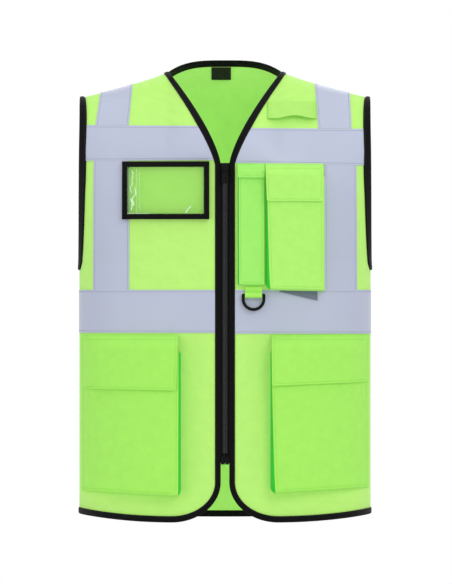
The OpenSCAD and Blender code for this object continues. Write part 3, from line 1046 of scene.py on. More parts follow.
def surface_lengths(grid: Array) -> Array:
    """Measures how far each grid point lies along and across the cloth.

    Args:
        grid: Rows by columns by three.

    Returns:
        Rows by columns by two, in the grid's unit.
    """
    along = np.linalg.norm(np.diff(grid, axis=1), axis=-1)
    across = np.linalg.norm(np.diff(grid, axis=0), axis=-1)
    u = np.concatenate([np.zeros((grid.shape[0], 1)), np.cumsum(along, 1)], 1)
    v = np.concatenate([np.zeros((1, grid.shape[1])), np.cumsum(across, 0)], 0)
    return np.stack([u, v], -1)


def ring_faces(rings: Array) -> tuple[Array, list[tuple[int, ...]], Array]:
    """Joins section rings into a capped solid.

    Args:
        rings: Rings by points by three.

    Returns:
        The points, the faces and the cloth coordinates.
    """
    count, size = rings.shape[:2]
    at = np.arange(count * size).reshape(count, size)
    right = np.roll(at, -1, axis=1)
    walls = np.stack([at[:-1], right[:-1], right[1:], at[1:]], -1).reshape(-1, 4)
    faces = [tuple(int(i) for i in f) for f in walls]
    faces += [tuple(int(i) for i in at[0, ::-1]), tuple(int(i) for i in at[-1])]
    middle = rings.mean(1)
    u = np.concatenate([[0], np.cumsum(np.linalg.norm(np.diff(middle, axis=0), axis=-1))])
    step = np.linalg.norm(np.diff(rings[count // 2], axis=0), axis=-1)
    v = np.concatenate([[0], np.cumsum(step)])
    uvs = np.stack(np.broadcast_arrays(u[:, None], v[None, :]), -1).reshape(-1, 2)
    return rings.reshape(-1, 3), faces, uvs


def resample(points: Array, step: float) -> Array:
    """Spaces positions evenly along a line of points.

    Args:
        points: The line's values, one row for each point, with its place in the first three.
        step: The distance between positions.

    Returns:
        The values at the positions.
    """
    gaps = np.linalg.norm(np.diff(points[:, :3], axis=0), axis=-1)
    run = np.concatenate([[0], np.cumsum(gaps)])
    count = max(int(run[-1] / step), 1)
    where = (np.arange(count) + 0.5) * run[-1] / count
    return np.stack([np.interp(where, run, c) for c in points.T], -1)


@dataclass
class Stitching:
    """Rows of lock stitches, gathered into one mesh for each thread."""

    maker: Maker
    name: str
    thread: Finish
    pitch: float = 3.2
    length: float = 2.3
    radius: float = 0.32
    rows: list[tuple[Array, Array]] = field(default_factory=list)

    def run(
        self,
        face: Face,
        hand: Hand,
        x: Array,
        z: Array,
        o: Array,
        push: float = 0.0,
        raised: bool = False,
    ) -> None:
        """Adds a row along a line on the body.

        Args:
            face: The front or the back.
            hand: The side that positive x is on.
            x: Distances from the centre.
            z: Heights.
            o: Offsets of the cloth that the row is sewn on.
            push: How far the cloth stands straight forward there as well.
            raised: True on a piece that is placed with Skin.forward.
        """
        x, z, o = np.broadcast_arrays(*(np.asarray(v, float) for v in (x, z, o)))
        points = SKIN.forward(hand, x, z, o) if raised else SKIN.place(face, hand, x, z, o)
        points = points + np.array([0, -push, 0])
        lift = SKIN.place(face, hand, x, z, o + 1.0) - SKIN.place(face, hand, x, z, o)
        self.rows.append((points, lift))

    def beside(
        self, face: Face, hand: Hand, free: Array, sewn: Array, o: float, skip: int = 0
    ) -> None:
        """Adds a row along a binding, just inside its sewn edge.

        Args:
            face: The front or the back.
            hand: The side that positive x is on.
            free: x and z along the binding's free edge.
            sewn: x and z along its sewn edge.
            o: Offset of the row.
            skip: Points left out at the start.
        """
        line = between(free, sewn, BINDING_ROW)[skip:]
        self.run(face, hand, line[:, 0], line[:, 1], o)

    def sewn(self) -> Piece:
        """Makes the mesh of every stitch that was added.

        Returns:
            The stitches as one object.
        """
        ring = np.linspace(0, 2 * math.pi, 6, endpoint=False)
        # Each stitch dips into the cloth at both ends: place along it, thickness and height.
        bulge = ((-0.5, 0.35, -0.25), (-0.25, 1, 0.25), (0.25, 1, 0.25), (0.5, 0.35, -0.25))
        parts = []
        for line, out in self.rows:
            both = resample(np.concatenate([line, out], 1), self.pitch)
            if len(both) < 2:
                continue
            place, lift = both[:, :3], both[:, 3:]
            ahead = np.gradient(place, axis=0)
            ahead /= np.linalg.norm(ahead, axis=-1, keepdims=True)
            wide = np.cross(ahead, lift)
            wide /= np.linalg.norm(wide, axis=-1, keepdims=True)
            for p, n, t, w in zip(place, lift, ahead, wide):
                parts.append(np.stack([
                    p
                    + t * s * self.length
                    + n * h * self.radius
                    + self.radius * r * (np.outer(np.cos(ring), w) + np.outer(np.sin(ring), n))
                    for s, r, h in bulge
                ]))
        return self.maker.solids(self.name, parts, self.thread, 60)


def section(low: float, high: float) -> Array:
    """Closed outline of a folded binding.

    Args:
        low: Offset of its inner face.
        high: Offset of its outer face.

    Returns:
        Rows of share of the width from the free edge, and offset.
    """
    mid, half = (low + high) / 2, (high - low) / 2
    share = np.array([1.0, 0.86, 0.6, 0.35, 0.16, 0.05, 0.0])
    high_part = np.array([0.72, 0.92, 1.0, 1.0, 0.9, 0.55, 0.0])
    upper = np.stack([share, mid + half * high_part], 1)
    lower = np.stack([share[-2::-1], mid - half * high_part[-2::-1]], 1)
    return np.concatenate([upper, lower])


def bind(
    maker: Maker,
    name: str,
    face: Face,
    hand: Hand,
    free: Array,
    sewn: Array,
    low: float = -1.8,
    high: float = 1.4,
    raised: bool = False,
) -> Piece:
    """Folds binding over an edge of the cloth.

    Args:
        maker: Makes the mesh.
        name: The piece's name.
        face: The front or the back.
        hand: The side that positive x is on.
        free: x and z along the free edge.
        sewn: x and z along the sewn edge, point for point.
        low: Offset of the inner face.
        high: Offset of the outer face.
        raised: True where it is lifted straight forward.

    Returns:
        The binding.
    """
    outline = section(low, high)
    share, offset = outline[:, 0], outline[:, 1]
    xz = free[:, None, :] + (sewn - free)[:, None, :] * share[None, :, None]
    if raised:
        rings = SKIN.forward(hand, xz[..., 0], xz[..., 1], offset[None, :])
    else:
        rings = SKIN.place(face, hand, xz[..., 0], xz[..., 1], offset[None, :])
    return maker.solids(name, [rings], BLACK_BINDING)


def shoulder_blend(piece: Piece) -> None:
    """Bakes a front piece's transform into its mesh."""
    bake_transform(piece)


# ---- Fronts --------------------------------------------------------------------------


@dataclass
class FrontHalf:
    """One front: its cloth from hem to shoulder, its tape and its bindings."""

    maker: Maker
    hand: Hand
    columns: int = 60
    tuck: float = 3.0
    body: str = field(init=False)
    stitches: Stitching = field(init=False)
    tape_stitches: Stitching = field(init=False)

    def __post_init__(self) -> None:
        """Names the body that the front swings with and threads its two rows of stitches."""
        word = self.hand.word
        self.body = f"front_{word}"
        self.tape_stitches = Stitching(self.maker, f"tape_stitches_{word}", GREY_THREAD)
        self.stitches = Stitching(
            self.maker, f"binding_stitches_{word}", BLACK_THREAD, radius=FINE_THREAD
        )

    def build(self) -> None:
        """Makes every piece of the front; its waist and upright tapes ride on the front's body."""
        self.cloth()
        self.chest_tape()
        self.waist_tape()
        self.upright_tape()
        self.shoulder_tape()
        self.edge()
        self.armhole()
        for rows in (self.tape_stitches, self.stitches):
            shoulder_blend(rows.sewn())

    def row_grid(self, z: Array, tuck: float) -> Array:
        """x values for rows at these heights, run a little under the bindings.

        Args:
            z: The rows' heights.
            tuck: How far the cloth runs under a binding.

        Returns:
            x values, one row for each height.
        """
        inner = SKIN.v_seam(z) - tuck
        outer = np.minimum(SKIN.arm_seam(Face.FRONT, z) + tuck, SKIN.half_w)
        return SKIN.columns(inner, outer, self.columns)

    def cloth(self) -> None:
        """Cuts the front from the hem's rounded corner up to the shoulder seam."""
        s = SKIN
        angles = np.radians(np.linspace(90, 8, 12))
        inner = s.corner[0] - (s.corner[0] - s.zip_half + self.tuck) * np.cos(angles)
        low_x = s.columns(inner, np.full(len(angles), s.half_w), self.columns)
        reach = s.front_hem(low_x) + s.binding_w + 1 - self.tuck - s.corner[1]
        low_z = s.corner[1] + reach * np.sin(angles)[:, None]
        z = np.linspace(s.corner[1], s.split_z, 102)
        mid_x = self.row_grid(z, self.tuck)
        mid_z = np.broadcast_to(z[:, None], mid_x.shape)
        w = 1 - (1 - np.linspace(0, 1, 26)[1:]) ** 2.3
        z_in = between(s.split_z, s.seam_z(s.neck_end), w)
        z_out = between(s.split_z, s.seam_z(s.half_w - s.binding_w), w)
        inner = s.v_seam(np.minimum(z_in, 0)) - self.tuck
        outer = np.minimum(s.arm_seam(Face.FRONT, z_out) + self.tuck, s.half_w)
        top_x = s.columns(inner, outer, self.columns)
        top_z = between(s.split_z, s.seam_z(np.maximum(top_x, s.neck_end)), w[:, None])
        x = np.concatenate([low_x, mid_x, top_x])
        zz = np.concatenate([low_z, mid_z, top_z])
        word = self.hand.word
        piece, grid = self.maker.layer(
            f"front_cloth_{word}", (Face.FRONT, self.hand, x, zz), 0.0, CLOTH_BACK, GREEN_CLOTH
        )
        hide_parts(f"front_panel_{word}", f"front_skirt_{word}", f"yoke_{word}")
        shoulder_blend(piece)

    def tape(self, name: str, x: Array, z: Array, node: str) -> Piece:
        """Lays tape over a grid of the front.

        Args:
            name: The piece's name.
            x: Grid of distances from the centre.
            z: Grid of heights.
            node: The frame's node that it stands for.

        Returns:
            The tape.
        """
        spot = (Face.FRONT, self.hand, x, z)
        piece, _ = self.maker.layer(name, spot, TAPE_TOP, TAPE_UNDER, SILVER_TAPE)
        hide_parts(node)
        return piece

    def sew(self, x: Array, z: Array | float) -> None:
        """Sews a row of grey thread along the tape at these distances and heights."""
        self.tape_stitches.run(Face.FRONT, self.hand, x, z, TAPE_TOP)

    def chest_tape(self) -> None:
        """The band across the chest, from the zip to the armhole."""
        bands = BANDS[self.hand]
        x = self.row_grid(np.linspace(-127, -76, 15), self.tuck - 0.5)
        low, top = bands.level(bands.chest_low, x), bands.level(bands.chest_top, x)
        z = between(low, top, np.linspace(0, 1, 15)[:, None])
        node = f"chest_band_{self.hand.word}"
        shoulder_blend(self.tape(f"chest_tape_{self.hand.word}", x, z, node))
        for ends, inset in ((bands.chest_low, TAPE_INSET), (bands.chest_top, -TAPE_INSET)):
            row = self.row_grid(np.array([ends[0]]), 0.0)[0]
            self.sew(row, bands.level(ends, row) + inset)

    def waist_tape(self) -> None:
        """The wider band at the waist, from the zip to the side seam."""
        low = BANDS[self.hand].waist_low
        z = np.linspace(low, WAIST_TOP, 13)
        x = self.row_grid(z, self.tuck - 0.5)
        grid_z = np.broadcast_to(z[:, None], x.shape)
        node = f"waist_band_{self.hand.word}"
        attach(self.tape(f"waist_tape_{self.hand.word}", x, grid_z, node), self.body)
        for level in (low + TAPE_INSET, WAIST_TOP - TAPE_INSET):
            self.sew(self.row_grid(np.array([level]), 0.0)[0], level)

    def upright_tape(self) -> None:
        """The upright band between the chest and the waist."""
        bands = BANDS[self.hand]
        w = np.linspace(0, 1, 40)
        x = np.broadcast_to(np.linspace(*bands.upright, 15), (40, 15))
        foot = WAIST_TOP - BAND_GAP
        z = between(foot, bands.level(bands.chest_low, x) - BAND_GAP, w[:, None])
        node = f"front_band_{self.hand.word}"
        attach(self.tape(f"upright_tape_{self.hand.word}", x, z, node), self.body)
        inset = 2.4
        for edge in (bands.upright[0] + inset, bands.upright[1] - inset):
            line = np.full(40, edge)
            self.sew(line, between(foot, bands.level(bands.chest_low, line) - BAND_GAP, w))

    def shoulder_tape(self) -> None:
        """The upright band's upper end, from the chest band to the shoulder seam."""
        s = SKIN
        bands = BANDS[self.hand]
        w = 1 - (1 - np.linspace(0, 1, 26)) ** 2.0
        share = np.linspace(0, 1, 31)
        x = bands.rising(share[None, :], w[:, None], bands.shoulder)
        z = between(bands.level(bands.chest_top, x) + BAND_GAP, s.seam_z(x), w[:, None])
        node = f"shoulder_band_{self.hand.word}"
        shoulder_blend(self.tape(f"shoulder_tape_{self.hand.word}", x, z, node))
        for k in TAPE_ROWS:
            line = bands.rising(k, w, bands.shoulder)
            self.sew(line, between(bands.level(bands.chest_top, line) + BAND_GAP, s.seam_z(line), w))

    def edge(self) -> None:
        """Binds the hem, the rounded corner, the zip's edge and the V of the neck."""
        s = SKIN
        wide = s.binding_w + 1
        x = s.half_w * np.sin(np.pi / 2 * np.linspace(1, 0, 60)) ** (2 / s.bow_n)
        x = np.append(x[x > 79], [77.5, 76])
        hem_free = np.stack([x, s.front_hem(x)], 1)
        hem_sewn = hem_free + np.array([0, wide])
        turn = np.radians(np.linspace(90, 0, 26))
        drop = s.corner[1] - s.hem_z
        bend_free = np.stack(
            [s.corner[0] - s.corner_a * np.cos(turn), s.corner[1] - drop * np.sin(turn)], 1
        )
        bend_sewn = np.stack(
            [
                s.corner[0] - (s.corner[0] - s.zip_half) * np.cos(turn),
                s.corner[1] - (drop - wide) * np.sin(turn),
            ],
            1,
        )
        z = np.concatenate([np.linspace(-570, -135, 74), np.linspace(-130, 0.6, 40)])
        up_free = np.stack([s.v_free(z), z], 1)
        up_sewn = np.stack([s.v_seam(z) + 2.6 * clamp(1 - z / s.v_foot) ** 0.6, z], 1)
        free = np.concatenate([hem_free, bend_free, up_free])
        sewn = np.concatenate([hem_sewn, bend_sewn, up_sewn])
        name = f"edge_binding_cloth_{self.hand.word}"
        piece = bind(self.maker, name, Face.FRONT, self.hand, free, sewn, high=1.9)
        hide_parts(f"edge_binding_{self.hand.word}")
        shoulder_blend(piece)
        self.stitches.beside(Face.FRONT, self.hand, free, sewn, 1.83)

    def armhole(self) -> None:
        """Binds the front half of the armhole."""
        free, sewn = armhole_lines(SKIN, Face.FRONT)
        name = f"armhole_cloth_front_{self.hand.word}"
        piece = bind(self.maker, name, Face.FRONT, self.hand, free, sewn, high=2.8)
        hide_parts(f"front_armhole_{self.hand.word}")
        shoulder_blend(piece)
        self.stitches.beside(Face.FRONT, self.hand, free, sewn, 2.6, skip=4)


def armhole_lines(skin: Skin, face: Face) -> tuple[Array, Array]:
    """Edges of the armhole's binding from its lowest point to the shoulder.

    Args:
        skin: The body surface.
        face: The front or the back.

    Returns:
        x and z along the free edge and along the sewn edge.
    """
    turn = np.radians(np.linspace(0, 180, 72))
    z = skin.arm_mid - skin.arm_h / 2 * np.cos(turn)
    low = turn < np.pi / 2
    sewn_z = np.where(low, z - skin.binding_w * np.cos(turn), z)
    sewn_x = skin.arm_seam(face, sewn_z) - 3.4 * np.sin(turn) ** 0.5
    sewn_z[-1] = float(skin.seam_z(sewn_x[-1]))
    free = np.stack([np.full(len(z), skin.half_w), z], 1)
    return free, np.stack([sewn_x, sewn_z], 1)


# ---- Back ----------------------------------------------------------------------------


@dataclass
class BackHalf:
    """The back in one piece of cloth, with its tape, bindings, seams and label."""

    maker: Maker
    columns: int = 96
    tuck: float = 3.0
    pieces: list[Piece] = field(default_factory=list)
    stitches: Stitching = field(init=False)
    tape_stitches: Stitching = field(init=False)

    def __post_init__(self) -> None:
        """Threads the back's two rows of stitches."""
        self.tape_stitches = Stitching(self.maker, "tape_stitches_back", GREY_THREAD)
        self.stitches = Stitching(
            self.maker, "binding_stitches_back", BLACK_THREAD, radius=FINE_THREAD
        )

    def build(self) -> None:
        """Makes every piece of the back and hangs it on the shoulders."""
        self.cloth()
        self.bands()
        self.bindings()
        self.seams()
        self.label()
        self.pieces += [self.tape_stitches.sewn(), self.stitches.sewn()]
        for piece in self.pieces:
            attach(piece, "shell")

    def neck_low(self, x: Array) -> Array:
        """Sewn edge of the back neck's binding."""
        top = np.where(
            np.abs(x) <= SKIN.neck_half, SKIN.neck_back_z(x), SKIN.seam_z(x)
        )
        return top - SKIN.binding_w

    def stations(self, z: Array, x0: Array) -> Array:
        """Pulls a row's x values in beside the armholes.

        Args:
            z: The row's heights.
            x0: Its signed x values as if there were no armhole.

        Returns:
            The signed x values.
        """
        outer = np.minimum(SKIN.arm_seam(Face.BACK, z) + self.tuck, SKIN.half_w)
        a = np.abs(x0)
        pulled = 150 + (outer - 150) * (a - 150) / (SKIN.half_w - 150)
        return np.sign(x0) * np.where(a <= 150, a, pulled)

    def cloth(self) -> None:
        """Cuts the back from the hem up to the neck and the shoulder seams."""
        s = SKIN
        x0 = s.full_row(self.columns // 2)
        hem = s.back_hem(x0) + s.binding_w + 1 - self.tuck
        top = np.where(
            np.abs(x0) <= s.neck_end, self.neck_low(x0) + self.tuck, s.seam_z(x0)
        )
        low_w = np.linspace(0, 1, 96)[:, None]
        low = between(hem[None, :], CHEST_TOP, low_w)
        w = (1 - (1 - np.linspace(0, 1, 30)[1:]) ** 2.2)[:, None]
        z = np.concatenate([low, between(CHEST_TOP, top[None, :], w)])
        x = self.stations(z, np.broadcast_to(x0, z.shape))
        spot = (Face.BACK, Hand.LEFT, x, z)
        piece, grid = self.maker.layer("back_cloth", spot, 0.0, CLOTH_BACK, GREEN_CLOTH)
        self.maker.line(piece, grid.shape[:2])
        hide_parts("back_yoke", "back_panel", "back_skirt")
        self.pieces.append(piece)

    def band(self, name: str, x: Array, z: Array, node: str) -> None:
        """Lays tape over a grid of the back.

        Args:
            name: The piece's name.
            x: Grid of signed distances from the centre.
            z: Grid of heights.
            node: The frame's node that it stands for.
        """
        spot = (Face.BACK, Hand.LEFT, x, z)
        piece, _ = self.maker.layer(name, spot, TAPE_TOP, TAPE_UNDER, SILVER_TAPE)
        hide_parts(node)
        self.pieces.append(piece)

    def bands(self) -> None:
        """The chest, waist and upright bands of the back."""
        s = SKIN
        x0 = s.full_row(44)
        for name, low, high, node in (
            ("chest_tape_back", CHEST_LOW, CHEST_TOP, "back_chest_band"),
            ("waist_tape_back", WAIST_LOW, WAIST_TOP, "back_waist_band"),
        ):
            z = np.broadcast_to(np.linspace(low, high, 14)[:, None], (14, len(x0)))
            x = self.stations(z, np.broadcast_to(x0, z.shape))
            self.band(name, x, z, node)
            for row in (low + TAPE_INSET, high - TAPE_INSET):
                line = self.stations(np.full(len(x0), row), x0)
                self.tape_stitches.run(Face.BACK, Hand.LEFT, line[2:-2], row, TAPE_TOP)
        foot = CHEST_TOP - BAND_GAP
        for hand in Hand:
            word = hand.word
            z = np.linspace(WAIST_TOP - BAND_GAP, CHEST_LOW + BAND_GAP, 40)
            x = np.broadcast_to(np.linspace(*UPRIGHT, 15), (40, 15)) * hand.value
            grid_z = np.broadcast_to(z[:, None], x.shape)
            self.band(f"upright_tape_back_{word}", x, grid_z, f"back_band_{word}")
            w = 1 - (1 - np.linspace(0, 1, 26)) ** 2.0
            share = np.linspace(0, 1, 31)
            x = BANDS[hand].rising(share[None, :], w[:, None], UPRIGHT)
            grid_z = between(foot, s.seam_z(x), w[:, None])
            self.band(f"shoulder_tape_back_{word}", x * hand.value, grid_z, f"shoulder_band_{word}")
            for k in TAPE_ROWS:
                line = np.full(40, between(*UPRIGHT, k))
                self.tape_stitches.run(Face.BACK, hand, line, z, TAPE_TOP)
                line = BANDS[hand].rising(k, w, UPRIGHT)
                rise = between(foot, s.seam_z(line), w)
                self.tape_stitches.run(Face.BACK, hand, line, rise, TAPE_TOP)

    def bindings(self) -> None:
        """Binds the back neck, the back of both armholes and the hem."""
        s = SKIN
        x = s.neck_end * np.sin(np.pi / 2 * np.linspace(-1, 1, 61))
        top = np.where(np.abs(x) <= s.neck_half, s.neck_back_z(x), s.seam_z(x))
        free = np.stack([x, top], 1)
        sewn = np.stack([x, self.neck_low(x)], 1)
        neck = bind(
            self.maker, "neck_binding_cloth", Face.BACK, Hand.LEFT, free, sewn, -2.0, 1.9
        )
        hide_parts("neck_binding")
        self.pieces.append(neck)
        self.stitches.beside(Face.BACK, Hand.LEFT, free, sewn, 1.83)
        for hand in Hand:
            free, sewn = armhole_lines(s, Face.BACK)
            name = f"armhole_cloth_back_{hand.word}"
            piece = bind(self.maker, name, Face.BACK, hand, free, sewn, high=2.2)
            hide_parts(f"armhole_binding_{hand.word}")
            self.pieces.append(piece)
            self.stitches.beside(Face.BACK, hand, free, sewn, 2.1, skip=4)
        x = s.full_row(44)
        free = np.stack([x, s.back_hem(x)], 1)
        sewn = free + np.array([0, s.binding_w + 1])
        hem = bind(self.maker, "hem_cloth_back", Face.BACK, Hand.LEFT, free, sewn)
        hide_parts("hem_binding_back")
        self.pieces.append(hem)
        self.stitches.beside(Face.BACK, Hand.LEFT, free, sewn, 1.33)

    def seams(self) -> None:
        """Closes the shoulders and the sides with overlocked seams."""
        s = SKIN
        turn = np.linspace(0, 2 * np.pi, 10, endpoint=False)
        for hand in Hand:
            x = np.linspace(84.5, 197, 60)
            middle = np.stack([hand.value * x, np.zeros(60), s.seam_z(x) - 0.5], 1)
            self.pieces.append(self.seam(f"shoulder_seam_{hand.word}", middle, turn, 2))
            z = np.linspace(-613, -272, 90)
            middle = np.stack([np.full(90, hand.value * 204.6), np.zeros(90), z], 1)
            self.pieces.append(self.seam(f"side_seam_{hand.word}", middle, turn, 0))

    def seam(self, name: str, middle: Array, turn: Array, across: int) -> Piece:
        """Rolls a seam along a line.

        Args:
            name: The piece's name.
            middle: Points of the line.
            turn: Angles round the section.
            across: Number of the axis that the section's height lies on; its width is on Y.

        Returns:
            The seam.
        """
        wave = 1 + 0.12 * np.sin(np.arange(len(middle)) * 2.1)
        ring = np.zeros((len(middle), len(turn), 3))
        ring[:, :, 1] = 1.3 * np.cos(turn)[None, :] * wave[:, None]
        ring[:, :, across] = 0.9 * np.sin(turn)[None, :] * wave[:, None]
        return self.maker.solids(name, [middle[:, None, :] + ring], GREEN_CLOTH)

    def label(self) -> None:
        """The plain black label inside the back neck, sewn along its top."""
        x = np.broadcast_to(np.linspace(-19.3, 8.4, 19), (15, 19))
        z = np.broadcast_to(np.linspace(-6.9, 10.1, 15)[:, None], x.shape)
        curl = 0.9 * clamp((-z - 1) / 8) ** 1.5
        spot = (Face.BACK, Hand.LEFT, x, z)
        piece, _ = self.maker.layer("plain_neck_label", spot, -2.3 - curl, -2.75 - curl, LABEL)
        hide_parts("neck_label")
        self.pieces.append(piece)


# ---- Pockets -------------------------------------------------------------------------


def ramp(t: Array) -> Array:
    """Height of a bellows wall that rises steeply and rounds over at its top."""
    return (1 - (1 - clamp(t)) ** 2.2) ** (1 / 1.5)


def spread(low: float, high: float, lean_a: float, lean_b: float, count: int) -> Array:
    """Values between two edges, dense on the sloping walls beside them.

    Args:
        low: The first edge.
        high: The last edge.
        lean_a: Width of the first wall.
        lean_b: Width of the last wall.
        count: Values between the walls.

    Returns:
        The values in order.
    """
    first = low + lean_a * np.linspace(0, 1, 9)[:-1] ** 1.6
    last = high - lean_b * np.linspace(1, 0, 9)[1:] ** 1.6
    return np.concatenate([first, np.linspace(low + lean_a, high - lean_b, count), last])


@dataclass
class Pouch:
    """A bellows pocket that is open at the top."""

    maker: Maker
    node: str
    hand: Hand
    x: tuple[float, float]
    z: tuple[float, float]
    lean: tuple[float, float, float]
    deep: Callable[[Array], Array]
    corner: float = 6.0
    base: float = 0.2
    sag: float = 0.8
    wedge: float = 1.0
    tilt: float = 0.0
    inset: float = 2.2
    cloth: Finish = POCKET_CLOTH
    columns: int = 34
    rows: int = 46

    def bottom(self, x: Array) -> Array:
        """The lower edge, with its rounded inner corner.

        Args:
            x: Distance from the centre.

        Returns:
            The heights.
        """
        near = clamp((self.x[0] + self.corner - x) / self.corner)
        rise = self.tilt * (x - self.x[0]) / (self.x[1] - self.x[0])
        return self.z[0] + rise + self.corner * (1 - np.sqrt(1 - near**2))

    def across(self, x: Array, z: Array) -> Array:
        """Distance from the centre, with the bellows narrowed towards the mouth.

        Args:
            x: Distance before narrowing.
            z: Height.

        Returns:
            The distances.
        """
        v = clamp((z - self.z[0]) / (self.z[1] - self.z[0])) ** 0.6
        lean = self.lean[0]
        narrow = lean * (1 - (1 - self.wedge) * v)
        width = self.x[1] - self.x[0]
        wall = self.x[0] + (x - self.x[0]) * narrow / lean
        rest = self.x[1] - (self.x[1] - x) * (width - narrow) / (width - lean)
        return np.where(x < self.x[0] + lean, wall, rest)

    def offset(self, x: Array, z: Array) -> Array:
        """Offset of the pocket's outer face from the front.

        Args:
            x: Distance from the centre.
            z: Height.

        Returns:
            The offsets.
        """
        a = ramp((x - self.x[0]) / self.lean[0])
        b = ramp((self.x[1] - x) / self.lean[1])
        c = ramp((z - self.bottom(x)) / self.lean[2])
        u = (x - self.x[0]) / (self.x[1] - self.x[0])
        v = (z - self.z[0]) / (self.z[1] - self.z[0])
        slack = np.sin(np.pi * clamp(u)) * np.sin(np.pi * clamp(v) ** 1.3)
        wave = 0.25 * np.sin(9 * u + 5 * v) + 0.2 * np.sin(5 * u - 11 * v + 1)
        return self.base + (self.deep(x) - self.base) * a * b * c + self.sag * slack * (0.6 + wave)

    def build(self) -> None:
        """Makes the pocket and its stitching, which ride on its front."""
        xs = spread(*self.x, self.lean[0], self.lean[1], self.columns)
        x = np.broadcast_to(xs, (self.rows + 8, len(xs)))
        rise = spread(0, 1, self.lean[2] / (self.z[1] - self.z[0]), 0.01, self.rows - 8)[:, None]
        z = self.bottom(x) + rise * (self.z[1] - self.bottom(x))
        o = self.offset(x, z)
        edge = clamp((o - self.base) / 2.0)
        placed = self.across(x, z)
        outer = SKIN.forward(self.hand, placed, z, o)
        inner = SKIN.forward(self.hand, placed, z, o - 1.0 * edge - 0.1)
        piece = self.maker.sheet(f"{self.node}_cloth", outer, inner, self.cloth, 55)
        # The inner bellows wall takes the darker green: painted shade.
        piece.data.materials.append(GUSSET_PAINTED_SHADE.made())
        self.paint_wall_shade(piece, x.shape, xs, rise[:, 0])
        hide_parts(self.node)
        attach(piece, f"front_{self.hand.word}")
        self.stitch()

    def paint_wall_shade(self, piece: Piece, shape: tuple[int, ...], xs: Array, v: Array) -> None:
        """Paints shade on the inner bellows wall: its faces take a darker green material that stands
        in for the shadow it lies in.

        Args:
            piece: The pocket.
            shape: Rows and columns of its grid.
            xs: The grid's x values.
            v: The grid's shares of height.
        """
        rows, cols = shape
        mid_x = (xs[:-1] + xs[1:]) / 2
        mid_v = (v[:-1] + v[1:]) / 2 * (self.z[1] - self.z[0])
        wall = (mid_x < self.x[0] + self.lean[0] * 0.75)[None, :] & (
            mid_v > self.lean[2] * 0.3
        )[:, None]
        count = (rows - 1) * (cols - 1)
        index = np.zeros(len(piece.data.polygons), dtype=np.int32)
        index[:count] = wall.ravel()
        piece.data.polygons.foreach_set("material_index", index)

    def stitch(self) -> None:
        """Sews a row just inside the pocket's front edges."""
        rows = Stitching(self.maker, f"{self.node}_stitches", GREEN_THREAD)
        left = self.x[0] + self.lean[0] + self.inset
        right = self.x[1] - self.lean[1] - self.inset
        low = self.z[0] + self.lean[2] + self.inset
        z = np.linspace(low + self.corner * 0.6, self.z[1] - 2, 60)
        lines = [(np.full(60, level), z) for level in (left, right)]
        x = np.linspace(left + self.corner * 0.6, right, 60)
        lines.append((x, self.bottom(x) + self.lean[2] + self.inset))
        for x, z in lines:
            o = self.offset(x, z)
            rows.run(Face.FRONT, self.hand, self.across(x, z), z, o, raised=True)
        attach(rows.sewn(), f"front_{self.hand.word}")


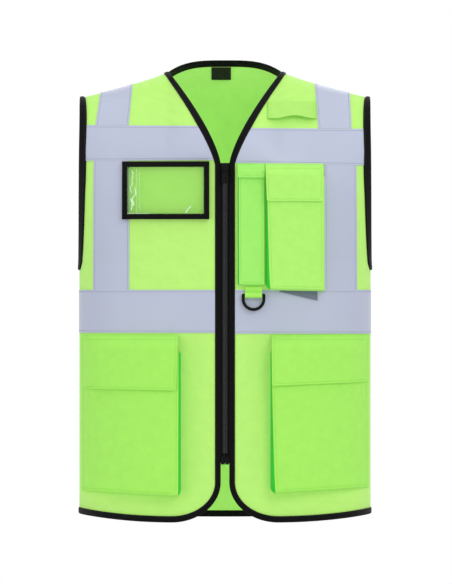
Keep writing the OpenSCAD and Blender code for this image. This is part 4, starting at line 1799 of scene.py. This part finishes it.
@dataclass
class Flap:
    """A pocket's flap, sewn along its top and lying over the pocket's mouth."""

    maker: Maker
    node: str
    hand: Hand
    x: tuple[float, float]
    z: tuple[float, float]
    drop: float
    deep: Callable[[Array], Array]
    base: float = 0.5
    corner: float = 3.0
    thick: float = 1.3
    taper: tuple[float, float] = (0.0, 0.0)
    tilt: float = 0.0
    inset: float = 3.0
    cloth: Finish = POCKET_CLOTH

    def bottom(self, x: Array) -> Array:
        """The lower edge, with both corners rounded.

        Args:
            x: Distance from the centre.

        Returns:
            The heights.
        """
        near = clamp(
            np.maximum(self.x[0] + self.corner - x, x - self.x[1] + self.corner) / self.corner
        )
        rise = self.tilt * (x - self.x[0]) / (self.x[1] - self.x[0])
        return self.z[0] + rise + self.corner * (1 - np.sqrt(1 - near**2))

    def across(self, x: Array, z: Array) -> Array:
        """Distance from the centre, with the inner edge drawn in by the taper.

        Args:
            x: Distance before tapering.
            z: Height.

        Returns:
            The distances.
        """
        u = (x - self.x[0]) / (self.x[1] - self.x[0])
        v = clamp((self.z[1] - z) / (self.z[1] - self.z[0]))
        return x + (1 - u) * between(self.taper[0], self.taper[1], v)

    def offset(self, x: Array, z: Array) -> Array:
        """Offset of the flap's outer face from the front.

        Args:
            x: Distance from the centre.
            z: Height.

        Returns:
            The offsets.
        """
        share = clamp((z - self.z[1] + self.drop) / self.drop)
        rise = self.deep(x) + (self.base - self.deep(x)) * share**1.5
        u = (x - self.x[0]) / (self.x[1] - self.x[0])
        v = clamp((self.z[1] - z) / (self.z[1] - self.z[0]))
        wave = 0.35 * np.sin(7.5 * u + 2) + 0.2 * np.sin(15 * u + 3 * v)
        return rise + self.thick + 0.9 * v**2 * (0.5 + wave)

    def build(self) -> None:
        """Makes the flap and its stitching, and bakes both where they lie."""
        count = max(int((self.x[1] - self.x[0]) / 2.4), 18)
        xs = spread(*self.x, 3.0, 3.0, count)
        rise = np.linspace(0, 1, max(int((self.z[1] - self.z[0]) / 1.6), 14))[:, None]
        x = np.broadcast_to(xs, (len(rise), len(xs)))
        z = self.bottom(x) + rise * (self.z[1] - self.bottom(x))
        o = self.offset(x, z)
        placed = self.across(x, z)
        outer = SKIN.forward(self.hand, placed, z, o)
        inner = SKIN.forward(self.hand, placed, z, o - self.thick)
        piece = self.maker.sheet(f"{self.node}_cloth", outer, inner, self.cloth)
        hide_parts(self.node)
        rows = self.stitch()
        for part in (piece, rows):
            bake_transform(part)

    def stitch(self) -> Piece:
        """Sews a row inside the flap's edge and two along its top.

        Returns:
            The stitches.
        """
        rows = Stitching(self.maker, f"{self.node}_stitches", GREEN_THREAD)
        left, right = self.x[0] + self.inset, self.x[1] - self.inset
        x = np.linspace(left + 2, right - 2, 90)
        lines = [(x, self.bottom(x) + self.inset)]
        lines += [(x, np.full(90, self.z[1] - down)) for down in (2.0, 7.0)]
        for level in (left, right):
            foot = float(self.bottom(np.float64(level))) + self.inset + 2
            lines.append((np.full(40, level), np.linspace(foot, self.z[1] - 2, 40)))
        for x, z in lines:
            o = self.offset(x, z)
            rows.run(Face.FRONT, self.hand, self.across(x, z), z, o, raised=True)
        return rows.sewn()


def patch(
    maker: Maker,
    node: str,
    hand: Hand,
    x: tuple[float, float],
    z: tuple[float, float],
    deep: Callable[[Array], Array],
) -> None:
    """Sews a hook-and-loop patch on a pocket's front, under its flap.

    Args:
        maker: Makes the mesh.
        node: The frame's node that it stands for.
        hand: The side that positive x is on.
        x: Its two sides.
        z: Its lower and upper edges.
        deep: Offset of the pocket's front at each x.
    """
    xs = np.broadcast_to(np.linspace(*x, 30), (8, 30))
    zs = np.broadcast_to(np.linspace(*z, 8)[:, None], xs.shape)
    outer = SKIN.forward(hand, xs, zs, deep(xs) + 1.5)
    inner = SKIN.forward(hand, xs, zs, deep(xs) + 0.3)
    piece = maker.sheet(f"{node}_pile", outer, inner, LOOP)
    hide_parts(node)
    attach(piece, f"front_{hand.word}")


def flat_depth(value: float) -> Callable[[Array], Array]:
    """Returns a pocket depth that is the same all over."""
    return lambda x: np.full(np.shape(x), value)


def cargo_depth(x: Array) -> Array:
    """Depth of a cargo pocket, full at its inner edge and running out at the side."""
    return 2.6 + 19.4 * clamp((200 - x) / 135) ** 0.7


def cargo_flap_depth(x: Array) -> Array:
    """Height of a cargo flap's inner face, a little above its pocket."""
    return cargo_depth(x) + 1.8


@dataclass
class Pockets:
    """The pen, phone and cargo pockets with their flaps and closures."""

    maker: Maker

    def build(self) -> None:
        """Makes the pockets, their flaps and their patches."""
        m = self.maker
        Pouch(
            m, "pen_pocket", Hand.LEFT, (18, 56.5), (-300, -143), (2.2, 2.2, 2.5),
            flat_depth(9.0), corner=3.0, sag=0.5, wedge=0.6, cloth=PEN_CLOTH, columns=20,
        ).build()
        Flap(
            m, "pen_flap", Hand.LEFT, (18, 55.5), (-148.5, -128.5), 11, flat_depth(11.6),
            corner=2.0, cloth=PEN_CLOTH,
        ).build()
        patch(m, "pen_patch", Hand.LEFT, (26, 49), (-148.5, -143.8), flat_depth(9.4))
        Pouch(
            m, "phone_pocket", Hand.LEFT, (57.2, 139.4), (-306.5, -147), (8.0, 2.0, 3.5),
            flat_depth(16.5), corner=9.0, sag=0.5, base=1.2, wedge=0.25, tilt=-1.5,
            cloth=PHONE_CLOTH,
        ).build()
        Flap(
            m, "phone_flap", Hand.LEFT, (56.4, 138), (-181.5, -128.6), 15, flat_depth(18.6),
            base=1.5, taper=(0.0, 2.2), cloth=PHONE_CLOTH,
        ).build()
        patch(m, "phone_patch", Hand.LEFT, (75, 125), (-176, -158), flat_depth(16.6))
        for hand, x, low, lean, flap, taper, tilts in (
            (Hand.LEFT, 63.8, -592.5, (9.0, 0.16), -440.5, (1.6, 2.0), (8.0, 5.5)),
            (Hand.RIGHT, 62.0, -597.0, (4.5, 0.8), -447.0, (3.6, 6.4), (7.5, 2.5)),
        ):
            word = hand.word
            Pouch(
                m, f"cargo_pocket_{word}", hand, (x, 202), (low, -394), (lean[0], 1.5, 3.0),
                cargo_depth, corner=9.0, sag=1.0, wedge=lean[1], tilt=tilts[0], columns=52,
            ).build()
            Flap(
                m, f"cargo_flap_{word}", hand, (x, 202), (flap, -368.5), 18,
                cargo_flap_depth, taper=taper, tilt=tilts[1],
            ).build()
            patch(m, f"cargo_patch_{word}", hand, (88, 160), (-436, -412), cargo_depth)


@dataclass
class CardPocket:
    """The bound pocket with a clear window, on the wearer's right chest."""

    maker: Maker
    x: tuple[float, float] = (22.0, 144.0)
    z: tuple[float, float] = (-207.0, -125.6)
    wide: float = 8.0
    depth: float = 7.2

    def build(self) -> None:
        """Makes the frame's binding and the window."""
        x0, x1 = self.x
        z0, z1 = self.z
        up, over = np.linspace(z0, z1, 44), np.linspace(x0, x1, 60)
        low, high = 0.4, self.depth + 1.5
        # Each side's free edge, the way to its sewn edge, and its inner and outer offsets.
        sides = {
            "inner": (np.full(44, x0), up, (self.wide, 0.0), low, high),
            "outer": (np.full(44, x1), up, (-self.wide, 0.0), low, high),
            "foot": (over, np.full(60, z0), (0.0, self.wide), low, high),
            "lip": (over, np.full(60, z1), (0.0, -self.wide), self.depth - 0.4, self.depth + 1.8),
        }
        for word, (x, z, step, under, top) in sides.items():
            free = np.stack([x, z], 1)
            name, sewn = f"card_frame_{word}", free + np.array(step)
            piece = bind(
                self.maker, name, Face.FRONT, Hand.RIGHT, free, sewn, under, top, raised=True
            )
            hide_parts("card_frame")
            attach(piece, "front_right")
        self.window()
        self.stitch()

    def window(self) -> None:
        """The clear film, a little slack between its bindings."""
        a, b = self.x[0] + self.wide - 2, self.x[1] - self.wide + 2
        c, d = self.z[0] + self.wide - 2, self.z[1] - self.wide + 2
        xs = np.linspace(a, b, 220)
        zs = np.linspace(c, d, 140)
        x, z = np.meshgrid(xs, zs)
        u, v = (x - a) / (b - a), (z - c) / (d - c)
        slack = 0.8 * np.sin(np.pi * u) * np.sin(np.pi * v) * np.sin(6 * u + 2 * v)
        slack += 0.5 * np.exp(-(((u - 0.9) / 0.03) ** 2)) * np.sin(np.pi * v)
        outer = SKIN.forward(Hand.RIGHT, x, z, self.depth + 0.9 + slack)
        inner = SKIN.forward(Hand.RIGHT, x, z, self.depth + 0.5 + slack)
        piece = self.maker.sheet("card_window_film", outer, inner, VINYL)
        # Painted glare along the creases, carried to the material as a point attribute.
        glare = self.creases(x, z).ravel()
        layer = piece.data.attributes.new("crease", "FLOAT", "POINT")
        layer.data.foreach_set("value", np.concatenate([glare, glare]).astype(np.float32))
        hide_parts("card_window")
        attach(piece, "front_right")

    def creases(self, x: Array, z: Array) -> Array:
        """How strongly painted glare whitens the film along its creases, from 0 to 1.

        Args:
            x: Distance from the centre.
            z: Height.

        Returns:
            The whiteness at each point.
        """
        lines = (
            (119.4, 0.0, 0.5, 0.45, -134, -199),
            (123.4, 0.2, 0.5, 0.5, -134, -199),
            (130.2, 1.4, 0.7, 0.9, -136, -172),
            (126.8, 2.2, 0.9, 0.9, -160, -190),
            (131.0, 1.0, 0.8, 0.95, -176, -197),
        )
        total = np.zeros_like(x)
        for middle, sway, half, strength, top, low in lines:
            path = middle + sway * np.sin(z * 0.17 + middle) + 0.5 * sway * np.sin(z * 0.45)
            run = clamp((top - z) / 4) * clamp((z - low) / 4)
            total += strength * run * np.exp(-(((x - path) / half) ** 2))
        # One short slanting glint low down near the inner side.
        along = clamp((z + 198) / 11)
        glint = np.abs(x - (55.5 - 8.5 * along)) / 1.3
        total += 0.85 * np.exp(-(glint**2)) * clamp((-187 - z) / 2) * clamp((z + 199) / 2)
        # A faint painted highlight along the film's lower edge, where it is sewn under the lower
        # binding.
        rim = np.exp(-(((z - self.z[0] - self.wide - 0.4) / 0.5) ** 2))
        total += 0.7 * rim * clamp((x - 100) / 10)
        return clamp(total)

    def stitch(self) -> None:
        """Sews the frame's binding down."""
        rows = Stitching(self.maker, "card_frame_stitches", BLACK_THREAD, radius=FINE_THREAD)
        inset = self.wide - 1.6
        left, right = self.x[0] + inset, self.x[1] - inset
        low, top = self.z[0] + inset, self.z[1] - inset
        lines = [(level, np.linspace(low, top, 50)) for level in (left, right)]
        lines += [(np.linspace(left, right, 60), level) for level in (low, top)]
        for x, z in lines:
            rows.run(Face.FRONT, Hand.RIGHT, x, z, self.depth + 1.3, raised=True)
        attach(rows.sewn(), "front_right")


# ---- Straps and small sewn parts -----------------------------------------------------


@dataclass
class Trim:
    """The radio strap, the ring's webbing loop and the small tag."""

    maker: Maker
    strap_x: tuple[float, float] = (59.0, 128.6)
    strap_z: tuple[float, float] = (-65.0, -42.0)
    strap_rise: float = 11.0
    strap_top: float = 1.9
    strap_under: float = 0.6
    fold_r: float = 3.3

    def build(self) -> None:
        """Makes the three pieces."""
        self.radio_strap()
        self.ring_webbing()
        self.tag()

    def radio_strap(self) -> None:
        """The strap that bows off the left shoulder, sewn down at both ends."""
        near, far = self.strap_x
        low, high = self.strap_z
        x, z = np.meshgrid(np.linspace(near, far, 60), np.linspace(low, high, 14))
        share = (x - near) / (far - near)
        arch = np.sin(np.pi * clamp((share - 0.15) / 0.8)) ** 2
        z = z + 4.0 * arch * clamp((high - z) / (high - low))
        rise = self.strap_rise * np.sqrt(np.maximum(np.sin(np.pi * share), 0))
        grids = []
        for o in (self.strap_top, self.strap_under):
            grid = SKIN.place(Face.FRONT, Hand.LEFT, x, z, o)
            grid[..., 1] -= rise
            grids.append(grid)
        piece = self.maker.sheet("radio_strap_webbing", *grids, STRAP_CLOTH)
        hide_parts("radio_loop")
        shoulder_blend(piece)
        rows = Stitching(self.maker, "radio_strap_stitches", GREEN_THREAD)
        line = np.linspace(low + 1, high - 1, 12)
        for level in (60.6, 63.8, 123.8, 127.0):
            bow = self.strap_rise * np.sqrt(np.sin(np.pi * (level - near) / (far - near)))
            rows.run(Face.FRONT, Hand.LEFT, level, line, self.strap_top, push=bow)
        shoulder_blend(rows.sewn())

    def ring_webbing(self) -> None:
        """The webbing folded round the ring's bar and sewn under the pen pocket."""
        low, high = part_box("ring_loop")
        edge = 4.1
        ring_y, ring_z = low[1] / MM + edge, low[2] / MM + edge
        turn = np.radians(np.linspace(0, 300, 34))
        r = self.fold_r
        curve = np.stack([ring_y + r * np.cos(turn), ring_z - r * np.sin(turn)], 1)
        rise = np.linspace(ring_z + 11.5, ring_z + 0.6, 10)
        tail = np.stack([np.full(10, ring_y + r), rise], 1)
        path = np.concatenate([tail, curve])
        ahead = np.gradient(path, axis=0)
        ahead /= np.linalg.norm(ahead, axis=-1, keepdims=True)
        out = np.stack([ahead[:, 1], -ahead[:, 0]], 1)
        xs = np.linspace(low[0] / MM, high[0] / MM, 16)
        grids = []
        for shift in (0.65, -0.65):
            line = path + shift * out
            grid = np.zeros((len(path), len(xs), 3))
            grid[..., 0] = xs[None, :]
            grid[..., 1:] = line[:, None, :]
            grids.append(grid)
        piece = self.maker.sheet("ring_webbing", *grids, POCKET_CLOTH)
        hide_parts("ring_loop")
        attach(piece, "front_left")

    def tag(self) -> None:
        """The small grey tag below the phone pocket, cut on a slant."""
        u, v = np.meshgrid(np.linspace(0, 1, 24), np.linspace(0, 1, 8))
        x = 76 + 53 * u
        bottom = -308.6 - 12.2 * u
        z = bottom + v * (-304.5 - bottom)
        curl = 0.8 * (1 - v) ** 2
        spot = (Face.FRONT, Hand.LEFT, x, z)
        piece, _ = self.maker.layer("plain_side_tag", spot, 2.2 + curl, 1.6 + curl, TAG)
        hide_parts("side_tag")
        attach(piece, "front_left")


# ---- Zip -----------------------------------------------------------------------------


@dataclass
class Zip:
    """The moulded zip: tapes, teeth, end fittings, slider and pull tab."""

    maker: Maker
    zip_y: float = -128.4
    top: float = -142.0
    low: float = -536.0
    pitch: float = 4.0

    def build(self) -> None:
        """Makes the tapes and teeth, and finishes the frame's hard parts."""
        for hand in Hand:
            self.tape(hand)
            self.teeth(hand)
        self.harden(
            ("zip_pin", "zip_box", "zip_slider", "zip_slider_back", "pull_tab", "d_ring"), 0.3
        )

    def tape(self, hand: Hand) -> None:
        """Weaves one tape, from under the binding to the teeth.

        Args:
            hand: The side it is on.
        """
        inner_x = -0.45 if hand is Hand.LEFT else 0.5
        xs, zs = np.linspace(inner_x, 9.5, 16), np.linspace(self.low - 13, self.top + 2, 120)
        x, z = np.meshgrid(xs, zs)
        back = 0.95 * clamp((3.6 - x) / 1.0)
        z = z + 12.0 * clamp((x - 3.2) / 1.5) * clamp((z - self.top + 20) / 20)
        outer = np.stack([hand.value * x, self.zip_y + 0.1 + back, z], -1)
        inner = np.stack([hand.value * x, self.zip_y + 0.45 + back, z], -1)
        piece = self.maker.sheet(f"zip_tape_cloth_{hand.word}", outer, inner, ZIP_TAPE)
        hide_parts(f"zip_tape_{hand.word}")
        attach(piece, f"front_{hand.word}")

    def teeth(self, hand: Hand) -> None:
        """Moulds one side's teeth on their cord.

        Args:
            hand: The side they are on.
        """
        outline = np.array([
            [3.4, 0.15], [2.2, 0.0], [1.1, 0.1], [0.4, 0.32], [-0.5, 0.12], [-1.3, 0.2],
            [-1.6, 0.9], [-1.3, 1.6], [-0.5, 1.68], [0.4, 1.48], [1.1, 1.7], [2.2, 1.8],
            [3.4, 1.65],
        ])
        middle = outline.mean(0)
        parts = []
        shift = 0.0 if hand is Hand.LEFT else self.pitch / 2
        for z in np.arange(self.low + 1 + shift, self.top - 2.0, self.pitch):
            rings = []
            for depth, share in ((1.0, 0.8), (0.75, 1.0), (-1.15, 1.0), (-1.5, 0.78)):
                ring = middle + (outline - middle) * share
                flat = np.full(len(ring), self.zip_y + depth)
                rings.append(np.stack([hand.value * ring[:, 0], flat, z + ring[:, 1]], 1))
            parts.append(np.stack(rings))
        turn = np.linspace(0, 2 * np.pi, 10, endpoint=False)
        cord = np.zeros((80, 10, 3))
        cord[..., 0] = hand.value * (2.5 + 0.8 * np.cos(turn))
        cord[..., 1] = self.zip_y - 0.2 + 1.0 * np.sin(turn)
        cord[..., 2] = np.linspace(self.low, self.top, 80)[:, None]
        parts.append(cord)
        # The teeth take the lighter black, a painted highlight.
        piece = self.maker.solids(f"zip_teeth_moulded_{hand.word}", parts, PAINTED_LIGHT_TEETH, 42.0)
        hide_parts(f"zip_teeth_{hand.word}")
        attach(piece, f"front_{hand.word}")

    def harden(self, nodes: Sequence[str], radius: float) -> None:
        """Rounds the edges of the frame's moulded parts and gives them their finish.

        Args:
            nodes: The frame's nodes.
            radius: Radius of the rounded edges, in millimetres.
        """
        for name in nodes:
            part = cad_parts[name]
            bevel = part.modifiers.new("moulded_edges", "BEVEL")
            bevel.width = radius * MM
            bevel.segments = 2
            bevel.limit_method = "ANGLE"
            bevel.angle_limit = math.radians(50)
            part.data.materials.clear()
            part.data.materials.append(ACETAL.made())


# ---- Studio --------------------------------------------------------------------------


@dataclass
class Studio:
    """A pale floor, soft lights and the camera in front of the vest."""

    distance: float = 20.0
    view_width: float = 0.6346
    centre: tuple[float, float] = (0.0014, -0.309)
    front: float = 0.11
    film: float = 36.0
    floor_z: float = -0.80

    def build(self) -> None:
        """Makes the floor, the world, the lights and the camera."""
        self.floor()
        self.world()
        self.light("key_softbox", (1.9, -3.4, 1.9), 1.6, 36.0)
        self.light("fill_softbox", (-2.6, -3.0, 0.2), 2.6, 14.0)
        self.light("top_softbox", (0.0, -0.5, 2.3), 1.6, 10.0)
        self.light("back_softbox", (0.4, 3.2, 1.6), 2.6, 36.0)
        self.camera()

    def floor(self) -> None:
        """A round floor under the hanging vest, out of the camera's sight."""
        turn = np.linspace(0, 2 * np.pi, 96, endpoint=False)
        data = bpy.data.meshes.new("pale_floor")
        rim = [(1.5 * math.cos(t), 1.5 * math.sin(t), self.floor_z) for t in turn]
        data.from_pydata(rim, [], [tuple(range(96))])
        paper = Finish("pale_floor_paper", "#eeeeee", 0.9)
        data.materials.append(paper.made())
        floor = bpy.data.objects.new("pale_floor", data)
        bpy.context.scene.collection.objects.link(floor)

    def world(self) -> None:
        """Plain white light from all round, seen as a pure white sheet."""
        world = bpy.data.worlds.new("studio_white")
        bpy.context.scene.world = world
        world.use_nodes = True
        tree = world.node_tree
        ambient = tree.nodes["Background"]
        ambient.inputs["Color"].default_value = (1, 1, 1, 1)
        ambient.inputs["Strength"].default_value = 0.8
        white = add_node(tree, "ShaderNodeBackground", {"Color": (1, 1, 1, 1), "Strength": 1.0})
        ray = add_node(tree, "ShaderNodeLightPath")
        seen = add_node(
            tree,
            "ShaderNodeMixShader",
            {},
            {
                0: ray.outputs["Is Camera Ray"],
                1: ambient.outputs["Background"],
                2: white.outputs["Background"],
            },
        )
        tree.links.new(seen.outputs["Shader"], tree.nodes["World Output"].inputs["Surface"])
        bpy.context.scene.view_settings.view_transform = "Standard"

    def light(self, name: str, place: tuple[float, float, float], size: float, power: float) -> None:
        """Hangs a square softbox that faces the vest.

        Args:
            name: The light's name.
            place: Its centre.
            size: Its edge length in metres.
            power: Its power in watts.
        """
        lamp = bpy.data.lights.new(name, "AREA")
        lamp.energy = power
        lamp.size = size
        box = bpy.data.objects.new(name, lamp)
        box.location = place
        aim = Vector((0, 0, -0.3)) - Vector(place)
        box.rotation_euler = aim.to_track_quat("-Z", "Y").to_euler()
        bpy.context.scene.collection.objects.link(box)

    def camera(self) -> None:
        """A long lens straight in front, so that the vest shows almost without perspective."""
        lens = bpy.data.cameras.new("front_camera")
        lens.sensor_fit = "HORIZONTAL"
        lens.sensor_width = self.film
        lens.lens = self.film * (self.distance - self.front) / self.view_width
        lens.clip_end = 90
        eye = bpy.data.objects.new("front_camera", lens)
        eye.location = (self.centre[0], -self.distance, self.centre[1])
        eye.rotation_euler = (math.pi / 2, 0, 0)
        bpy.context.scene.collection.objects.link(eye)
        bpy.context.scene.camera = eye


def main() -> None:
    """Builds the vest in order."""
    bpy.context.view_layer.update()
    Studio().build()
    maker = Maker()
    back = BackHalf(maker)
    back.build()
    log.info("back: %d pieces", len(back.pieces))
    for hand in Hand:
        FrontHalf(maker, hand).build()
    log.info("fronts done: %d pieces", len(maker.made))
    Pockets(maker).build()
    CardPocket(maker).build()
    Trim(maker).build()
    Zip(maker).build()
    log.info("all pieces: %d", len(maker.made))


if __name__ == "__main__":
    main()
